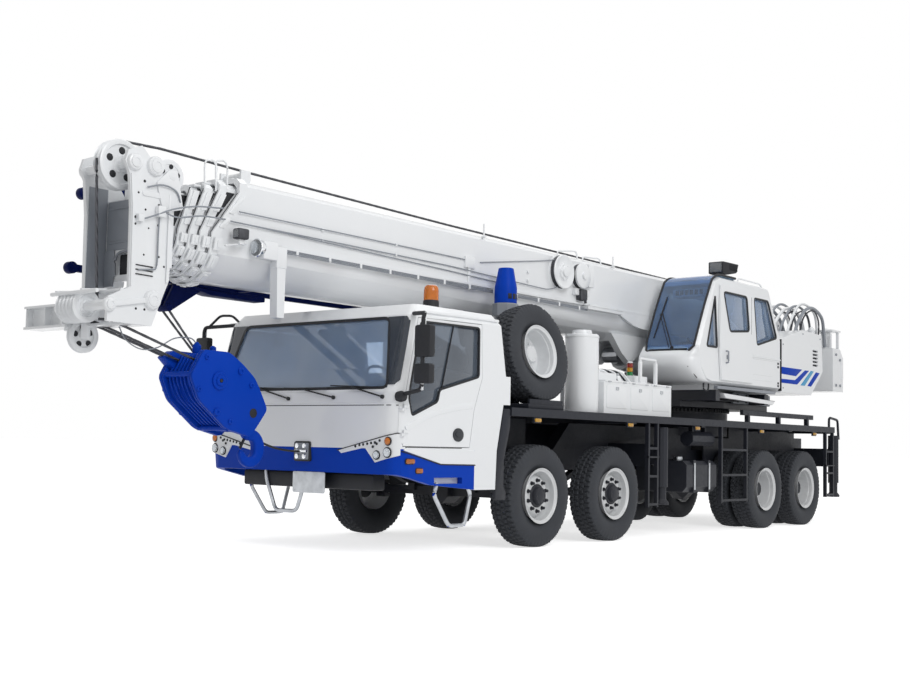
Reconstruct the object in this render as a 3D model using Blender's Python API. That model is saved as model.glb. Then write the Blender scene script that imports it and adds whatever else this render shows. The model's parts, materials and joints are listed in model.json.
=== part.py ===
"""Truck crane: a four-axle carrier, a slewing superstructure and a five-section boom.

Metres, +X forward, +Y to the vehicle's left, +Z up, wheels standing on Z = 0.
Stations along X are measured from the first axle and shifted by AXLE_1_X,
so that the origin is under the middle of the whole machine.
"""
import math

import bmesh
import bpy
from mathutils import Matrix, Vector

# Clearances
TOUCH = 0.0003
RUN = 0.006
ON_AXIS = 1e-6
WELD = 1e-5
FLATNESS = math.radians(0.05)

# Front and rear tips, from the first axle: the lower head sheaves and the counterweight
LOW_SHEAVE = (4.94, 2.23)
LOW_SHEAVE_RADIUS = 0.14
REAR_REACH = -8.66
AXLE_1_X = -(LOW_SHEAVE[0] + LOW_SHEAVE_RADIUS + REAR_REACH) / 2

# Wheels and axles
AXLE_1 = 0.0
AXLE_2 = -1.51
AXLE_3 = -5.55
AXLE_4 = -6.90
TYRE_RADIUS = 0.561
TYRE_WIDTH = 0.313
TYRE_SHOULDER = 0.025
TYRE_CROWN = 0.24
RIM_RADIUS = 0.301
TWIN_GAP = 0.04
SIDE_PLANE = 1.38
WHEEL_STEPS = 12
HUB_BORE = 0.065
KINGPIN_Y = 0.96
KNUCKLE_HALF = 0.10
KNUCKLE_BOSS = 0.05
KNUCKLE_WIDTH = 0.10
BEAM_HALF = 0.05
BOSS_HALF = 0.06
BOWL_RADIUS = 0.15
AXLE_TUBE = 0.085
SPRING_Y = 0.46
SPRING_HALF_LENGTH = 0.48
SPRING_WIDTH = 0.09
SPRING_THICK = 0.05
SPRING_SEAT = TYRE_RADIUS + AXLE_TUBE - 0.02

# Main frame
FRAME_BOTTOM = 0.82
FRAME_TOP = 1.40
FRAME_FRONT_TOP = 1.02
FRAME_HALF_WIDTH = 0.54
RAIL_WIDTH = 0.16
FRAME_FRONT_X = 2.22
FRAME_STEP_X = -1.75
FRAME_REAR_STEP_X = -8.03
FRAME_REAR_X = -8.62
FRAME_REAR_TOP = 1.33
CROSS_MEMBERS = (2.10, 0.62, -3.60, -6.10, -7.40)
CROSS_WIDTH = 0.14

# Deck
DECK_TOP = 1.51
DECK_PLATE = 0.03
DECK_BEAM_DEPTH = 0.09
DECK_BEAM_WIDTH = 0.07
DECK_FRONT_X = 0.57
DECK_REAR_X = -8.00
DECK_HALF_WIDTH = 1.38
GUARD_Y = 0.69
AIR_TANK_Z = 1.25
AIR_TANK_RADIUS = 0.10

# Slewing
SLEW_X = -5.15
RING_RADIUS = 0.86
RING_BORE = 0.62
RING_BASE_TOP = 1.63
SEAT_BOTTOM = 1.30
RING_STEPS = 16
TURNTABLE_BOTTOM = 1.70
TURNTABLE_PLATE = 0.09
CHEEK_Y = 0.425
CHEEK_THICK = 0.06
CHEEK_REAR_X = -8.25

# Boom
BOOM_PIVOT_X = -6.85
BOOM_PIVOT_Z = 3.00
BOOM_HALF_WIDTH = 0.40
BOOM_TOP = 3.54
BOOM_BOTTOM = 2.57
BOOM_LIP = 3.00
BOOM_STEP = 0.045
BOOM_WALL = 0.025
BOOM_REAR_X = -6.50
BOOM_CHAMFER = 0.05
BELLY_STEPS = 7
COLLAR_PROUD = 0.018
COLLAR_LENGTH = 0.09
PIVOT_BOSS = 0.16
PIVOT_PIN = 0.07
ROLLER_X = 3.31

# Boom sections: name, front at the top, front at the belly, rear end
SECTIONS = (
    ("boom_base_section", 3.60, 3.90, BOOM_REAR_X),
    ("boom_section_2", 3.80, 4.00, -6.20),
    ("boom_section_3", 3.93, 4.09, -6.00),
    ("boom_section_4", 4.05, 4.18, -5.80),
    ("boom_tip_section", 4.32, 4.32, -5.60),
)

# Lift cylinder, foot pin and rod pin
CYL_FOOT = (-5.90, 2.10)
CYL_HEAD = (-3.60, 2.40)
CYL_RADIUS = 0.17
CYL_ROD = 0.12
CYL_BARREL_LENGTH = 2.12

# Boom head
HEAD_Y = 0.35
HEAD_PLATE = 0.035
HEAD_FLOOR = 2.08
ROPE_RADIUS = 0.012
SHEAVE_RADIUS = 0.22
TOP_SHEAVE = (4.74, 3.50)
GUIDE_SHEAVE = (4.33, 3.45)
GUIDE_RADIUS = 0.14
SHEAVE_PITCH = 0.055
SHEAVE_BORE = 0.050
SHEAVE_STEPS = 10

# Front cab
CAB_FLOOR = 1.046
CAB_WALL = 0.05
SKIRT_X = 1.19
DOOR_THICK = 0.05
DOOR_HINGE_X = 2.290
MIRROR_X = 2.29
MIRROR_Y = 1.63
HINGE_RADIUS = 0.012

# Exhaust, between the boom and the spare wheel
EXHAUST_Y = 0.63
EXHAUST_RADIUS = 0.15

# Spare wheel, leaning on its stand
SPARE_X = -0.18
SPARE_SHELF_TOP = 1.57
SPARE_GAP = 0.28
SPARE_LEAN = math.radians(10.0)

# Operator's cab
OP_INNER_Y = 0.52
OP_OUTER_Y = 1.35
OP_BOTTOM = 2.00
OP_WALL = 0.04
OP_EDGE = 0.035
OP_NOSE_X = -3.90
OP_WINDSCREEN_BASE = 2.40
SLIDE_DOOR_THICK = 0.03

# Outriggers: each pair's station, beams side by side in one housing
OUTRIGGER_STATIONS = (("front", -2.86), ("rear", -8.30))
OUTRIGGER_BEAM_W = 0.17
OUTRIGGER_BEAM_H = 0.24
OUTRIGGER_Z = 0.90
OUTRIGGER_WALL = 0.02
JACK_Y = 1.27
JACK_RADIUS = 0.085
JACK_STEPS = 10
JACK_WALL = 0.018
JACK_TOP = 1.38
JACK_TUBE_BOTTOM = 0.62
JACK_FOOT_BOTTOM = 0.40
HOUSING_GAP = 0.025


def clear_scene():
    for old in list(bpy.data.objects):
        bpy.data.objects.remove(old, do_unlink=True)


def paint(name, colour, roughness, metallic=0.0):
    """A plain painted, rubber, steel or glass finish."""
    material = bpy.data.materials.new(name)
    material.use_nodes = True
    shader = material.node_tree.nodes["Principled BSDF"]
    shader.inputs["Base Color"].default_value = (*colour, 1.0)
    shader.inputs["Roughness"].default_value = roughness
    shader.inputs["Metallic"].default_value = metallic
    return material


FINISHES = {
    "white": ((0.80, 0.81, 0.83), 0.35, 0.0),
    "blue": ((0.01, 0.06, 0.36), 0.35, 0.0),
    "frame": ((0.035, 0.037, 0.045), 0.55, 0.0),
    "rubber": ((0.03, 0.03, 0.032), 0.85, 0.0),
    "steel": ((0.45, 0.45, 0.46), 0.35, 1.0),
    "glass": ((0.08, 0.12, 0.18), 0.05, 0.0),
    "trim": ((0.04, 0.04, 0.045), 0.7, 0.0),
}


def mesh_object(name, bm):
    """Put a bmesh in a new object with its faces pointing out."""
    bmesh.ops.recalc_face_normals(bm, faces=bm.faces)
    mesh = bpy.data.meshes.new(name)
    bm.to_mesh(mesh)
    bm.free()
    obj = bpy.data.objects.new(name, mesh)
    bpy.context.collection.objects.link(obj)
    return obj


def box(x0, x1, y0, y1, z0, z1):
    bm = bmesh.new()
    bmesh.ops.create_cube(bm, size=1.0)
    size = Matrix.Diagonal((x1 - x0, y1 - y0, z1 - z0, 1.0))
    middle = Matrix.Translation(((x0 + x1) / 2, (y0 + y1) / 2, (z0 + z1) / 2))
    bmesh.ops.transform(bm, matrix=middle @ size, verts=bm.verts)
    return mesh_object("box", bm)


def loft(rings):
    """Skin equal rings of points, one after another, and cap both ends."""
    bm = bmesh.new()
    rows = [[bm.verts.new(point) for point in ring] for ring in rings]
    for row, nxt in zip(rows, rows[1:]):
        for k in range(len(row)):
            j = (k + 1) % len(row)
            bm.faces.new((row[k], row[j], nxt[j], nxt[k]))
    bm.faces.new(rows[0])
    bm.faces.new(list(reversed(rows[-1])))
    return mesh_object("loft", bm)


def prism_y(outline, y0, y1):
    """An outline of (x, z) points carried from y0 to y1."""
    return loft([[(x, y, z) for x, z in outline] for y in (y0, y1)])


def prism_x(outline, x0, x1):
    """An outline of (y, z) points carried from x0 to x1."""
    return loft([[(x, y, z) for y, z in outline] for x in (x0, x1)])


def prism_z(outline, z0, z1):
    """An outline of (x, y) points carried from z0 to z1."""
    return loft([[(x, y, z) for x, y in outline] for z in (z0, z1)])


def turned(profile, steps, turn=0.5):
    """Spin (radius, height) points about Z. A profile that ends on the axis gets flat caps."""
    bm = bmesh.new()
    rows = []
    solid = profile[0][0] < ON_AXIS
    for radius, height in (profile[1:-1] if solid else profile):
        row = []
        for k in range(steps):
            angle = 2 * math.pi * (k + turn) / steps
            row.append(bm.verts.new((radius * math.cos(angle), radius * math.sin(angle), height)))
        rows.append(row)
    pairs = list(zip(rows, rows[1:]))
    if solid:
        bm.faces.new(rows[0])
        bm.faces.new(rows[-1])
    else:
        pairs.append((rows[-1], rows[0]))
    for row, nxt in pairs:
        for k in range(steps):
            j = (k + 1) % steps
            bm.faces.new((row[k], row[j], nxt[j], nxt[k]))
    return mesh_object("turned", bm)


def moved(obj, x=0.0, y=0.0, z=0.0, turn=None):
    """Turn the mesh itself (about X, Y or Z as (angle, axis)) and then shift it."""
    matrix = Matrix.Translation((x, y, z))
    if turn:
        matrix = matrix @ Matrix.Rotation(turn[0], 4, turn[1])
    obj.data.transform(matrix)
    if matrix.determinant() < 0:
        obj.data.flip_normals()
    return obj


def rod(start, end, radius, steps=12, turn=0.5):
    """A round bar between two points."""
    start = Vector(start)
    axis = Vector(end) - start
    bar = turned([(0.0, 0.0), (radius, 0.0), (radius, axis.length), (0.0, axis.length)], steps, turn)
    bar.data.transform(Matrix.Translation(start) @ axis.to_track_quat("Z", "Y").to_matrix().to_4x4())
    return bar


def bent_bar(points, radius, steps=6):
    """A round bar along corners, with its section mitred at each corner."""
    points = [Vector(p) for p in points]
    rings = []
    for k, point in enumerate(points):
        back = (point - points[max(k - 1, 0)]).normalized() if k else (points[1] - point).normalized()
        ahead = (points[min(k + 1, len(points) - 1)] - point).normalized() if k < len(points) - 1 else back
        tangent = (back + ahead).normalized()
        if k == 0:
            side = tangent.orthogonal().normalized()
        else:
            side = (side - tangent * side.dot(tangent)).normalized()
        up = tangent.cross(side)
        stretch = 1.0 / max(0.5, tangent.dot(back))
        fold = (ahead - back)
        ring = []
        for j in range(steps):
            angle = 2 * math.pi * (j + 0.5) / steps
            offset = side * math.cos(angle) * radius + up * math.sin(angle) * radius
            if fold.length > 1e-6:
                out = fold.normalized()
                offset += out * offset.dot(out) * (stretch - 1.0)
            ring.append(point + offset)
        rings.append(ring)
    return loft(rings)


def combine(target, tools, operation):
    """Apply one exact boolean of each tool to the target's mesh, and drop the tools."""
    for tool in tools:
        modifier = target.modifiers.new("shape", "BOOLEAN")
        modifier.operation = operation
        modifier.solver = "EXACT"
        modifier.object = tool
        graph = bpy.context.evaluated_depsgraph_get()
        mesh = bpy.data.meshes.new_from_object(target.evaluated_get(graph))
        target.modifiers.clear()
        old = target.data
        target.data = mesh
        bpy.data.meshes.remove(old)
        bpy.data.objects.remove(tool, do_unlink=True)
    bm = bmesh.new()
    bm.from_mesh(target.data)
    bmesh.ops.remove_doubles(bm, verts=bm.verts, dist=WELD)
    bmesh.ops.dissolve_degenerate(bm, edges=bm.edges, dist=WELD)
    bm.to_mesh(target.data)
    bm.free()
    return target


def fuse(first, *others):
    return combine(first, others, "UNION")


def cut(target, *tools):
    return combine(target, tools, "DIFFERENCE")


def keep(target, tool):
    return combine(target, [tool], "INTERSECT")


def mirrored(obj):
    """A copy of a shape on the other side of the vehicle's centre plane."""
    copy = obj.copy()
    copy.data = obj.data.copy()
    bpy.context.collection.objects.link(copy)
    copy.data.transform(Matrix.Scale(-1.0, 4, (0.0, 1.0, 0.0)))
    copy.data.flip_normals()
    return copy


def publish(obj, name, finish, parent, pivot=(0.0, 0.0, 0.0)):
    """Name a piece, give it its finish and put its origin on its joint's axis."""
    obj.name = name
    obj.data.name = name
    bm = bmesh.new()
    bm.from_mesh(obj.data)
    bmesh.ops.dissolve_limit(bm, angle_limit=FLATNESS, verts=bm.verts, edges=bm.edges)
    bm.to_mesh(obj.data)
    bm.free()
    obj.data.materials.clear()
    obj.data.materials.append(paint(name + "_finish", *FINISHES[finish]))
    obj.data.transform(Matrix.Translation(-Vector(pivot)))
    obj.data.shade_smooth()
    obj.data.set_sharp_from_angle(angle=math.radians(35.0))
    obj.parent = parent
    obj.location = Vector(pivot) - Vector(parent["pivot"])
    return obj


def holder(name, pivot, parent=None):
    """An empty on a joint's axis, which carries a moving body's pieces."""
    empty = bpy.data.objects.new(name, None)
    bpy.context.collection.objects.link(empty)
    empty["pivot"] = list(pivot)
    if parent is None:
        empty.location = (AXLE_1_X, 0.0, 0.0)
    else:
        empty.parent = parent
        empty.location = Vector(pivot) - Vector(parent["pivot"])
    return empty


def pin_radius(bore, steps):
    """The corner radius of a round bar that turns freely in a bore of so many sides."""
    return bore * math.cos(math.pi / steps) - TOUCH


# Wheels
FLAT = 1.0 / math.cos(math.pi / WHEEL_STEPS)
HALF = TYRE_WIDTH / 2
TWIN_PITCH = TYRE_WIDTH + TWIN_GAP
WHEEL_Y = SIDE_PLANE - HALF
TREAD = TYRE_RADIUS * FLAT
SHOULDER = (TYRE_RADIUS - TYRE_SHOULDER) * FLAT
GAP_FLOOR = (TYRE_RADIUS + RIM_RADIUS) / 2
CROWN_HALF = TYRE_CROWN / 2
DISC_THICK = 0.03
BARREL = RIM_RADIUS - 0.03
LIP = HALF - 0.017


def tyre_outline(middle):
    """Outer bead, over the tread, to the inner bead, as (radius, height) points."""
    points = ((RIM_RADIUS, LIP), (SHOULDER, HALF), (TREAD, CROWN_HALF),
              (TREAD, -CROWN_HALF), (SHOULDER, -HALF), (RIM_RADIUS, -LIP))
    return [(r, middle + h) for r, h in points]


def single_wheel(with_hub=True):
    """A tyre on a rim whose disc stands near the outer face, with the hub proud of it."""
    disc = 0.055
    hub_out = 0.13
    hub_radius = 0.12
    face = [(BARREL - 0.03, disc), (BARREL, LIP - 0.01)]
    back = [(BARREL - 0.01, disc - DISC_THICK)]
    if with_hub:
        outer = [(0.0, hub_out), (0.085, hub_out), (hub_radius, disc + 0.01)] + face
        inner = back + [(hub_radius, disc - DISC_THICK), (HUB_BORE, -0.07)]
        return outer + tyre_outline(0.0) + inner + [(HUB_BORE, disc), (0.0, disc)]
    return [(HUB_BORE, disc)] + face + tyre_outline(0.0) + back + [(HUB_BORE, disc - DISC_THICK)]


def twin_wheel():
    """Two tyres on one hub, the outer rim's disc set deep inside the dish."""
    disc = -0.09
    hub_radius = 0.125
    outer = [(0.0, 0.02), (0.09, 0.02), (hub_radius, disc), (BARREL - 0.02, disc), (BARREL, LIP - 0.01)]
    first = tyre_outline(0.0)[:5]
    gap = [(GAP_FLOOR, -HALF - TWIN_GAP / 2)]
    second = tyre_outline(-TWIN_PITCH)[1:]
    inner = [(BARREL - 0.01, disc - DISC_THICK)]
    inner += [(hub_radius, disc - DISC_THICK), (HUB_BORE, -0.33)]
    inner += [(HUB_BORE, disc + 0.04), (0.0, disc + 0.04)]
    return outer + first + gap + second + inner


def wheel_solid(profile, side, station):
    """Lay the turned wheel on its side, outer face away from the vehicle."""
    wheel = turned(profile, WHEEL_STEPS, 0.5)
    lean = -math.pi / 2 if side > 0 else math.pi / 2
    moved(wheel, turn=(lean, "X"))
    bottom_flat = math.pi / 2 if WHEEL_STEPS % 2 else 0.0
    wheel.data.transform(Matrix.Rotation(bottom_flat + flat_turn(), 4, "Y"))
    return moved(wheel, station, side * WHEEL_Y, TYRE_RADIUS)


def flat_turn():
    """The turn that puts the middle of a tread face, not a corner, at the bottom."""
    first_corner = 0.5 * 2 * math.pi / WHEEL_STEPS
    quarter = math.pi / 2
    steps = (quarter - first_corner) / (2 * math.pi / WHEEL_STEPS)
    offset = steps - math.floor(steps)
    return (offset - 0.5) * 2 * math.pi / WHEEL_STEPS


def sides():
    return (("left", 1), ("right", -1))


def spring_pack(station, side):
    """A leaf spring bowed under the rail, with a hanger at each end."""
    y = side * SPRING_Y
    top = FRAME_BOTTOM - TOUCH
    rise = top - SPRING_SEAT - SPRING_THICK - 0.004
    under = []
    upper = []
    for k in range(4):
        t = k * 2 / 3 - 1
        x = station + t * SPRING_HALF_LENGTH
        z = SPRING_SEAT + rise * t * t
        under.append((x, z))
        if abs(t) < 1:
            upper.append((x, z + SPRING_THICK))
    inner = SPRING_HALF_LENGTH - 0.06
    ends = [[(station + s * SPRING_HALF_LENGTH, top), (station + s * inner, top)] for s in (1, -1)]
    outline = under + ends[0] + list(reversed(upper)) + list(reversed(ends[1]))
    return prism_y(outline, y - SPRING_WIDTH / 2, y + SPRING_WIDTH / 2)


def spring_pads(station):
    """The blocks that clamp both springs on the axle."""
    half = SPRING_WIDTH / 2 + 0.005
    return [box(station - 0.08, station + 0.08, s * SPRING_Y - half, s * SPRING_Y + half,
                TYRE_RADIUS, SPRING_SEAT + 0.7 * SPRING_THICK) for _, s in sides()]


def steered_axle(index, station, carrier):
    end = KINGPIN_Y
    centre_z = TYRE_RADIUS
    beam = box(station - 0.045, station + 0.045, -end, end, centre_z - BEAM_HALF, centre_z + BEAM_HALF)
    bosses = [rod((station, s * end, centre_z - BOSS_HALF), (station, s * end, centre_z + BOSS_HALF),
                  KNUCKLE_BOSS, 6) for _, s in sides()]
    bowl = rod((station - 0.12, 0.0, centre_z), (station + 0.12, 0.0, centre_z), BOWL_RADIUS, 8)
    springs = [spring_pack(station, s) for _, s in sides()]
    publish(fuse(beam, *bosses, bowl, *springs, *spring_pads(station)), f"axle_{index}_steered", "frame",
            carrier)
    for side_name, s in sides():
        pivot = (station, s * KINGPIN_Y, TYRE_RADIUS)
        knuckle_holder = holder(f"steer_{index}_{side_name}", pivot, carrier)
        web_y = s * (KINGPIN_Y + KNUCKLE_BOSS + RUN)
        web_out = web_y + s * 0.03
        fork0, fork1 = sorted((web_out, s * (KINGPIN_Y - KNUCKLE_BOSS)))
        x0, x1 = station - KNUCKLE_WIDTH / 2, station + KNUCKLE_WIDTH / 2
        low_z, high_z = centre_z - KNUCKLE_HALF, centre_z + KNUCKLE_HALF
        pocket0, pocket1 = sorted((web_y, s * (KINGPIN_Y - 2 * KNUCKLE_BOSS)))
        pocket_half = BOSS_HALF + TOUCH
        fork = box(x0, x1, fork0, fork1, low_z, high_z)
        cut(fork, box(x0 - 0.05, x1 + 0.05, pocket0, pocket1, centre_z - pocket_half, centre_z + pocket_half))
        spindle_end = s * (WHEEL_Y + 0.04)
        spindle = rod((station, web_out - s * 0.01, TYRE_RADIUS), (station, spindle_end, TYRE_RADIUS),
                      pin_radius(HUB_BORE, WHEEL_STEPS), 6)
        knuckle = fuse(fork, spindle)
        publish(knuckle, f"knuckle_{index}_{side_name}", "frame", knuckle_holder, pivot)
        centre = (station, s * WHEEL_Y, TYRE_RADIUS)
        spin = holder(f"spin_{index}_{side_name}", centre, knuckle_holder)
        wheel = wheel_solid(single_wheel(), s, station)
        publish(wheel, f"wheel_{index}_{side_name}", "rubber", spin, centre)


def driven_axle(index, station, carrier):
    inner_hub = WHEEL_Y - 0.33
    tube = rod((station, -inner_hub + 0.02, TYRE_RADIUS), (station, inner_hub - 0.02, TYRE_RADIUS),
               AXLE_TUBE, 8)
    bowl = turned([(0.0, -0.2), (0.14, -0.2), (0.21, -0.06), (0.21, 0.1), (0.1, 0.24), (0.0, 0.24)], 8)
    moved(bowl, station, 0.0, TYRE_RADIUS, (math.pi / 2, "Y"))
    spindle_half = WHEEL_Y - 0.06
    spindle = rod((station, -spindle_half, TYRE_RADIUS), (station, spindle_half, TYRE_RADIUS),
                  pin_radius(HUB_BORE, WHEEL_STEPS), 8)
    springs = [spring_pack(station, s) for _, s in sides()]
    publish(fuse(tube, bowl, spindle, *springs, *spring_pads(station)), f"axle_{index}_driven", "frame",
            carrier)
    for side_name, s in sides():
        centre = (station, s * WHEEL_Y, TYRE_RADIUS)
        spin = holder(f"spin_{index}_{side_name}", centre, carrier)
        wheel = wheel_solid(twin_wheel(), s, station)
        publish(wheel, f"wheel_{index}_{side_name}", "rubber", spin, centre)


def outrigger_lane(station, side):
    """The two beams lie side by side: the left one ahead of the right one."""
    half_lane = (OUTRIGGER_BEAM_W + OUTRIGGER_WALL + 2 * RUN) / 2
    return station + side * half_lane


HOUSING_HALF_X = OUTRIGGER_BEAM_W + 1.5 * OUTRIGGER_WALL + 2 * RUN
HOUSING_HALF_Y = JACK_Y - JACK_RADIUS - HOUSING_GAP


def main_frame(carrier):
    """Two box rails, cross members, outrigger housings and the slewing ring's seat."""
    rails = []
    for _, s in sides():
        outer = s * FRAME_HALF_WIDTH
        inner = s * (FRAME_HALF_WIDTH - RAIL_WIDTH)
        side_view = [(FRAME_FRONT_X, FRAME_BOTTOM), (FRAME_FRONT_X, FRAME_FRONT_TOP),
                     (FRAME_STEP_X + 0.4, FRAME_FRONT_TOP), (FRAME_STEP_X, FRAME_TOP),
                     (FRAME_REAR_STEP_X, FRAME_TOP), (FRAME_REAR_STEP_X, FRAME_REAR_TOP),
                     (FRAME_REAR_X, FRAME_REAR_TOP), (FRAME_REAR_X, FRAME_BOTTOM)]
        rails.append(prism_y(side_view, min(inner, outer), max(inner, outer)))
    members = []
    for x in CROSS_MEMBERS:
        top = FRAME_FRONT_TOP if x > FRAME_STEP_X else FRAME_TOP
        members.append(box(x - CROSS_WIDTH / 2, x + CROSS_WIDTH / 2, -FRAME_HALF_WIDTH + 0.05,
                           FRAME_HALF_WIDTH - 0.05, FRAME_BOTTOM + 0.04, top - 0.04))
    housings = []
    tunnels = []
    for _, station in OUTRIGGER_STATIONS:
        low = OUTRIGGER_Z - OUTRIGGER_WALL - TOUCH
        high = OUTRIGGER_Z + OUTRIGGER_BEAM_H + OUTRIGGER_WALL + RUN
        housings.append(box(station - HOUSING_HALF_X, station + HOUSING_HALF_X,
                            -HOUSING_HALF_Y, HOUSING_HALF_Y, low, high))
        for _, s in sides():
            lane = outrigger_lane(station, s)
            reach = HOUSING_HALF_Y + 0.1
            half = OUTRIGGER_BEAM_W / 2 + RUN
            tunnels.append(box(lane - half, lane + half, -reach, reach,
                               OUTRIGGER_Z - TOUCH, OUTRIGGER_Z + OUTRIGGER_BEAM_H + RUN))
    seat = rod((SLEW_X, 0.0, SEAT_BOTTOM), (SLEW_X, 0.0, RING_BASE_TOP), RING_RADIUS, RING_STEPS)
    bore = rod((SLEW_X, 0.0, FRAME_TOP - 0.3), (SLEW_X, 0.0, RING_BASE_TOP + 0.1), RING_BORE, RING_STEPS)
    frame = fuse(rails[0], rails[1], *members, seat, *housings)
    cut(frame, bore, *tunnels)
    publish(frame, "chassis_frame", "frame", carrier)


def deck_ladder(x0, x1, bottom, rungs, y_out, depth=0.05):
    """Two stiles and their rungs, hung from the deck's side beam."""
    width = 0.035
    stiles = [box(x, x + width, y_out - depth, y_out, bottom, DECK_TOP - 0.05) for x in (x0, x1 - width)]
    steps = []
    for k in range(rungs):
        z = bottom + 0.02 + k * (DECK_TOP - DECK_BEAM_DEPTH - bottom) / rungs
        steps.append(box(x0 + width / 2, x1 - width / 2, y_out - depth, y_out, z, z + 0.03))
    return stiles + steps


# Ladders: rear end, front end, bottom, number of rungs
LADDERS = (
    (-2.51, -2.26, 0.38, 3),
    (-4.96, -4.18, 0.39, 3),
    (-7.97, -7.66, 0.41, 3),
)


def deck(carrier):
    """One plate on cross beams, holed for the slewing ring, with side beams and ladders."""
    plate = box(DECK_REAR_X, DECK_FRONT_X, -DECK_HALF_WIDTH, DECK_HALF_WIDTH, DECK_TOP - DECK_PLATE, DECK_TOP)
    parts = []
    for _, s in sides():
        outer = s * DECK_HALF_WIDTH
        inner = s * (DECK_HALF_WIDTH - DECK_BEAM_WIDTH)
        parts.append(box(DECK_REAR_X, DECK_FRONT_X, min(inner, outer), max(inner, outer),
                         DECK_TOP - DECK_BEAM_DEPTH, DECK_TOP - DECK_PLATE / 2))
    for x in (-1.95, -3.7, -6.4, -7.85):
        parts.append(box(x - 0.05, x + 0.05, -DECK_HALF_WIDTH + 0.02, DECK_HALF_WIDTH - 0.02,
                         FRAME_TOP + TOUCH, DECK_TOP - DECK_PLATE / 2))
    for x0, x1, bottom, rungs in LADDERS:
        ladder = deck_ladder(x0, x1, bottom, rungs, DECK_HALF_WIDTH - 0.002)
        parts += ladder + [mirrored(piece) for piece in ladder]
    for _, s in sides():
        y0, y1 = sorted((s * GUARD_Y, s * (GUARD_Y - 0.02)))
        parts.append(box(DECK_REAR_X, AXLE_3 + 0.60, y0, y1, FRAME_BOTTOM, DECK_TOP - DECK_PLATE / 2))
    tank_y = DECK_HALF_WIDTH - 0.16
    parts.append(rod((-4.10, tank_y, AIR_TANK_Z), (-3.50, tank_y, AIR_TANK_Z), AIR_TANK_RADIUS, 8))
    for x in (-3.98, -3.64):
        parts.append(box(x, x + 0.04, tank_y - 0.03, tank_y + 0.03, AIR_TANK_Z, DECK_TOP - DECK_PLATE / 2))
    hole = rod((SLEW_X, 0.0, SEAT_BOTTOM - 0.02), (SLEW_X, 0.0, DECK_TOP + 0.1), RING_RADIUS + 0.05,
               RING_STEPS)
    publish(cut(fuse(plate, *parts), hole), "deck", "frame", carrier)


def outriggers(carrier):
    """Beams that slide out of the frame, each with a vertical jack at its end."""
    for place, station in OUTRIGGER_STATIONS:
        for side_name, s in sides():
            lane = outrigger_lane(station, s)
            half = OUTRIGGER_BEAM_W / 2
            inner_end = -s * (HOUSING_HALF_Y - 0.02)
            outer_end = s * (JACK_Y - JACK_RADIUS / 2)
            beam = box(lane - half, lane + half, min(inner_end, outer_end), max(inner_end, outer_end),
                       OUTRIGGER_Z, OUTRIGGER_Z + OUTRIGGER_BEAM_H)
            tube = rod((lane, s * JACK_Y, JACK_TUBE_BOTTOM), (lane, s * JACK_Y, JACK_TOP), JACK_RADIUS,
                       JACK_STEPS)
            bore_radius = JACK_RADIUS - JACK_WALL
            bore = rod((lane, s * JACK_Y, JACK_TUBE_BOTTOM - 0.1), (lane, s * JACK_Y, JACK_TOP - 0.03),
                       bore_radius, JACK_STEPS)
            pivot = (lane, s * JACK_Y, OUTRIGGER_Z)
            slide = holder(f"outrigger_{place}_{side_name}", pivot, carrier)
            publish(cut(fuse(beam, tube), bore), f"outrigger_beam_{place}_{side_name}", "frame", slide, pivot)
            stem = rod((lane, s * JACK_Y, JACK_FOOT_BOTTOM + 0.03), (lane, s * JACK_Y, JACK_TOP - 0.06),
                       bore_radius - TOUCH, JACK_STEPS)
            foot = turned([(0.0, 0.0), (0.10, 0.0), (0.10, 0.03), (0.05, 0.09), (0.0, 0.09)], JACK_STEPS)
            moved(foot, lane, s * JACK_Y, JACK_FOOT_BOTTOM)
            jack_slide = holder(f"jack_{place}_{side_name}", pivot, slide)
            publish(fuse(stem, foot), f"outrigger_jack_{place}_{side_name}", "steel", jack_slide, pivot)


# Front cab: height, front, rear, half width, corner radius
CAB_SECTIONS = (
    (CAB_FLOOR, 2.388, 0.820, 1.380, 0.16),
    (1.610, 2.366, 0.700, 1.380, 0.16),
    (1.830, 2.302, 0.683, 1.380, 0.15),
    (2.360, 2.165, 0.770, 1.370, 0.12),
    (2.475, 2.060, 0.840, 1.290, 0.08),
)
CORNER_STEPS = 3


def cab_ring(z, front, rear, half, corner, inset=0.0):
    """A plan outline with its two front corners rounded."""
    front -= inset
    rear += inset
    half -= inset
    ring = [(rear, half, z)]
    for k in range(CORNER_STEPS + 1):
        angle = math.pi / 2 * (1 - k / CORNER_STEPS)
        ring.append((front - corner + corner * math.cos(angle), half - corner + corner * math.sin(angle), z))
    for k in range(CORNER_STEPS + 1):
        angle = -math.pi / 2 * k / CORNER_STEPS
        ring.append((front - corner + corner * math.cos(angle), -half + corner + corner * math.sin(angle), z))
    ring.append((rear, -half, z))
    return ring


# Door outline and its window, as (x, z) seen from the left side
DOOR_OUTLINE = ((2.275, 1.075), (1.74, 1.075), (1.28, 1.075), (1.215, 1.458), (1.09, 1.79), (1.10, 2.345),
                (2.085, 2.33), (2.245, 1.62), (2.275, 1.50))
DOOR_WINDOW = ((2.055, 2.295), (1.145, 2.305), (1.14, 1.80), (1.76, 1.64), (1.79, 1.52), (2.17, 1.37),
               (2.215, 1.53), (2.205, 1.63))
WINDSCREEN = ((1.22, 1.635), (1.06, 2.335))


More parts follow.
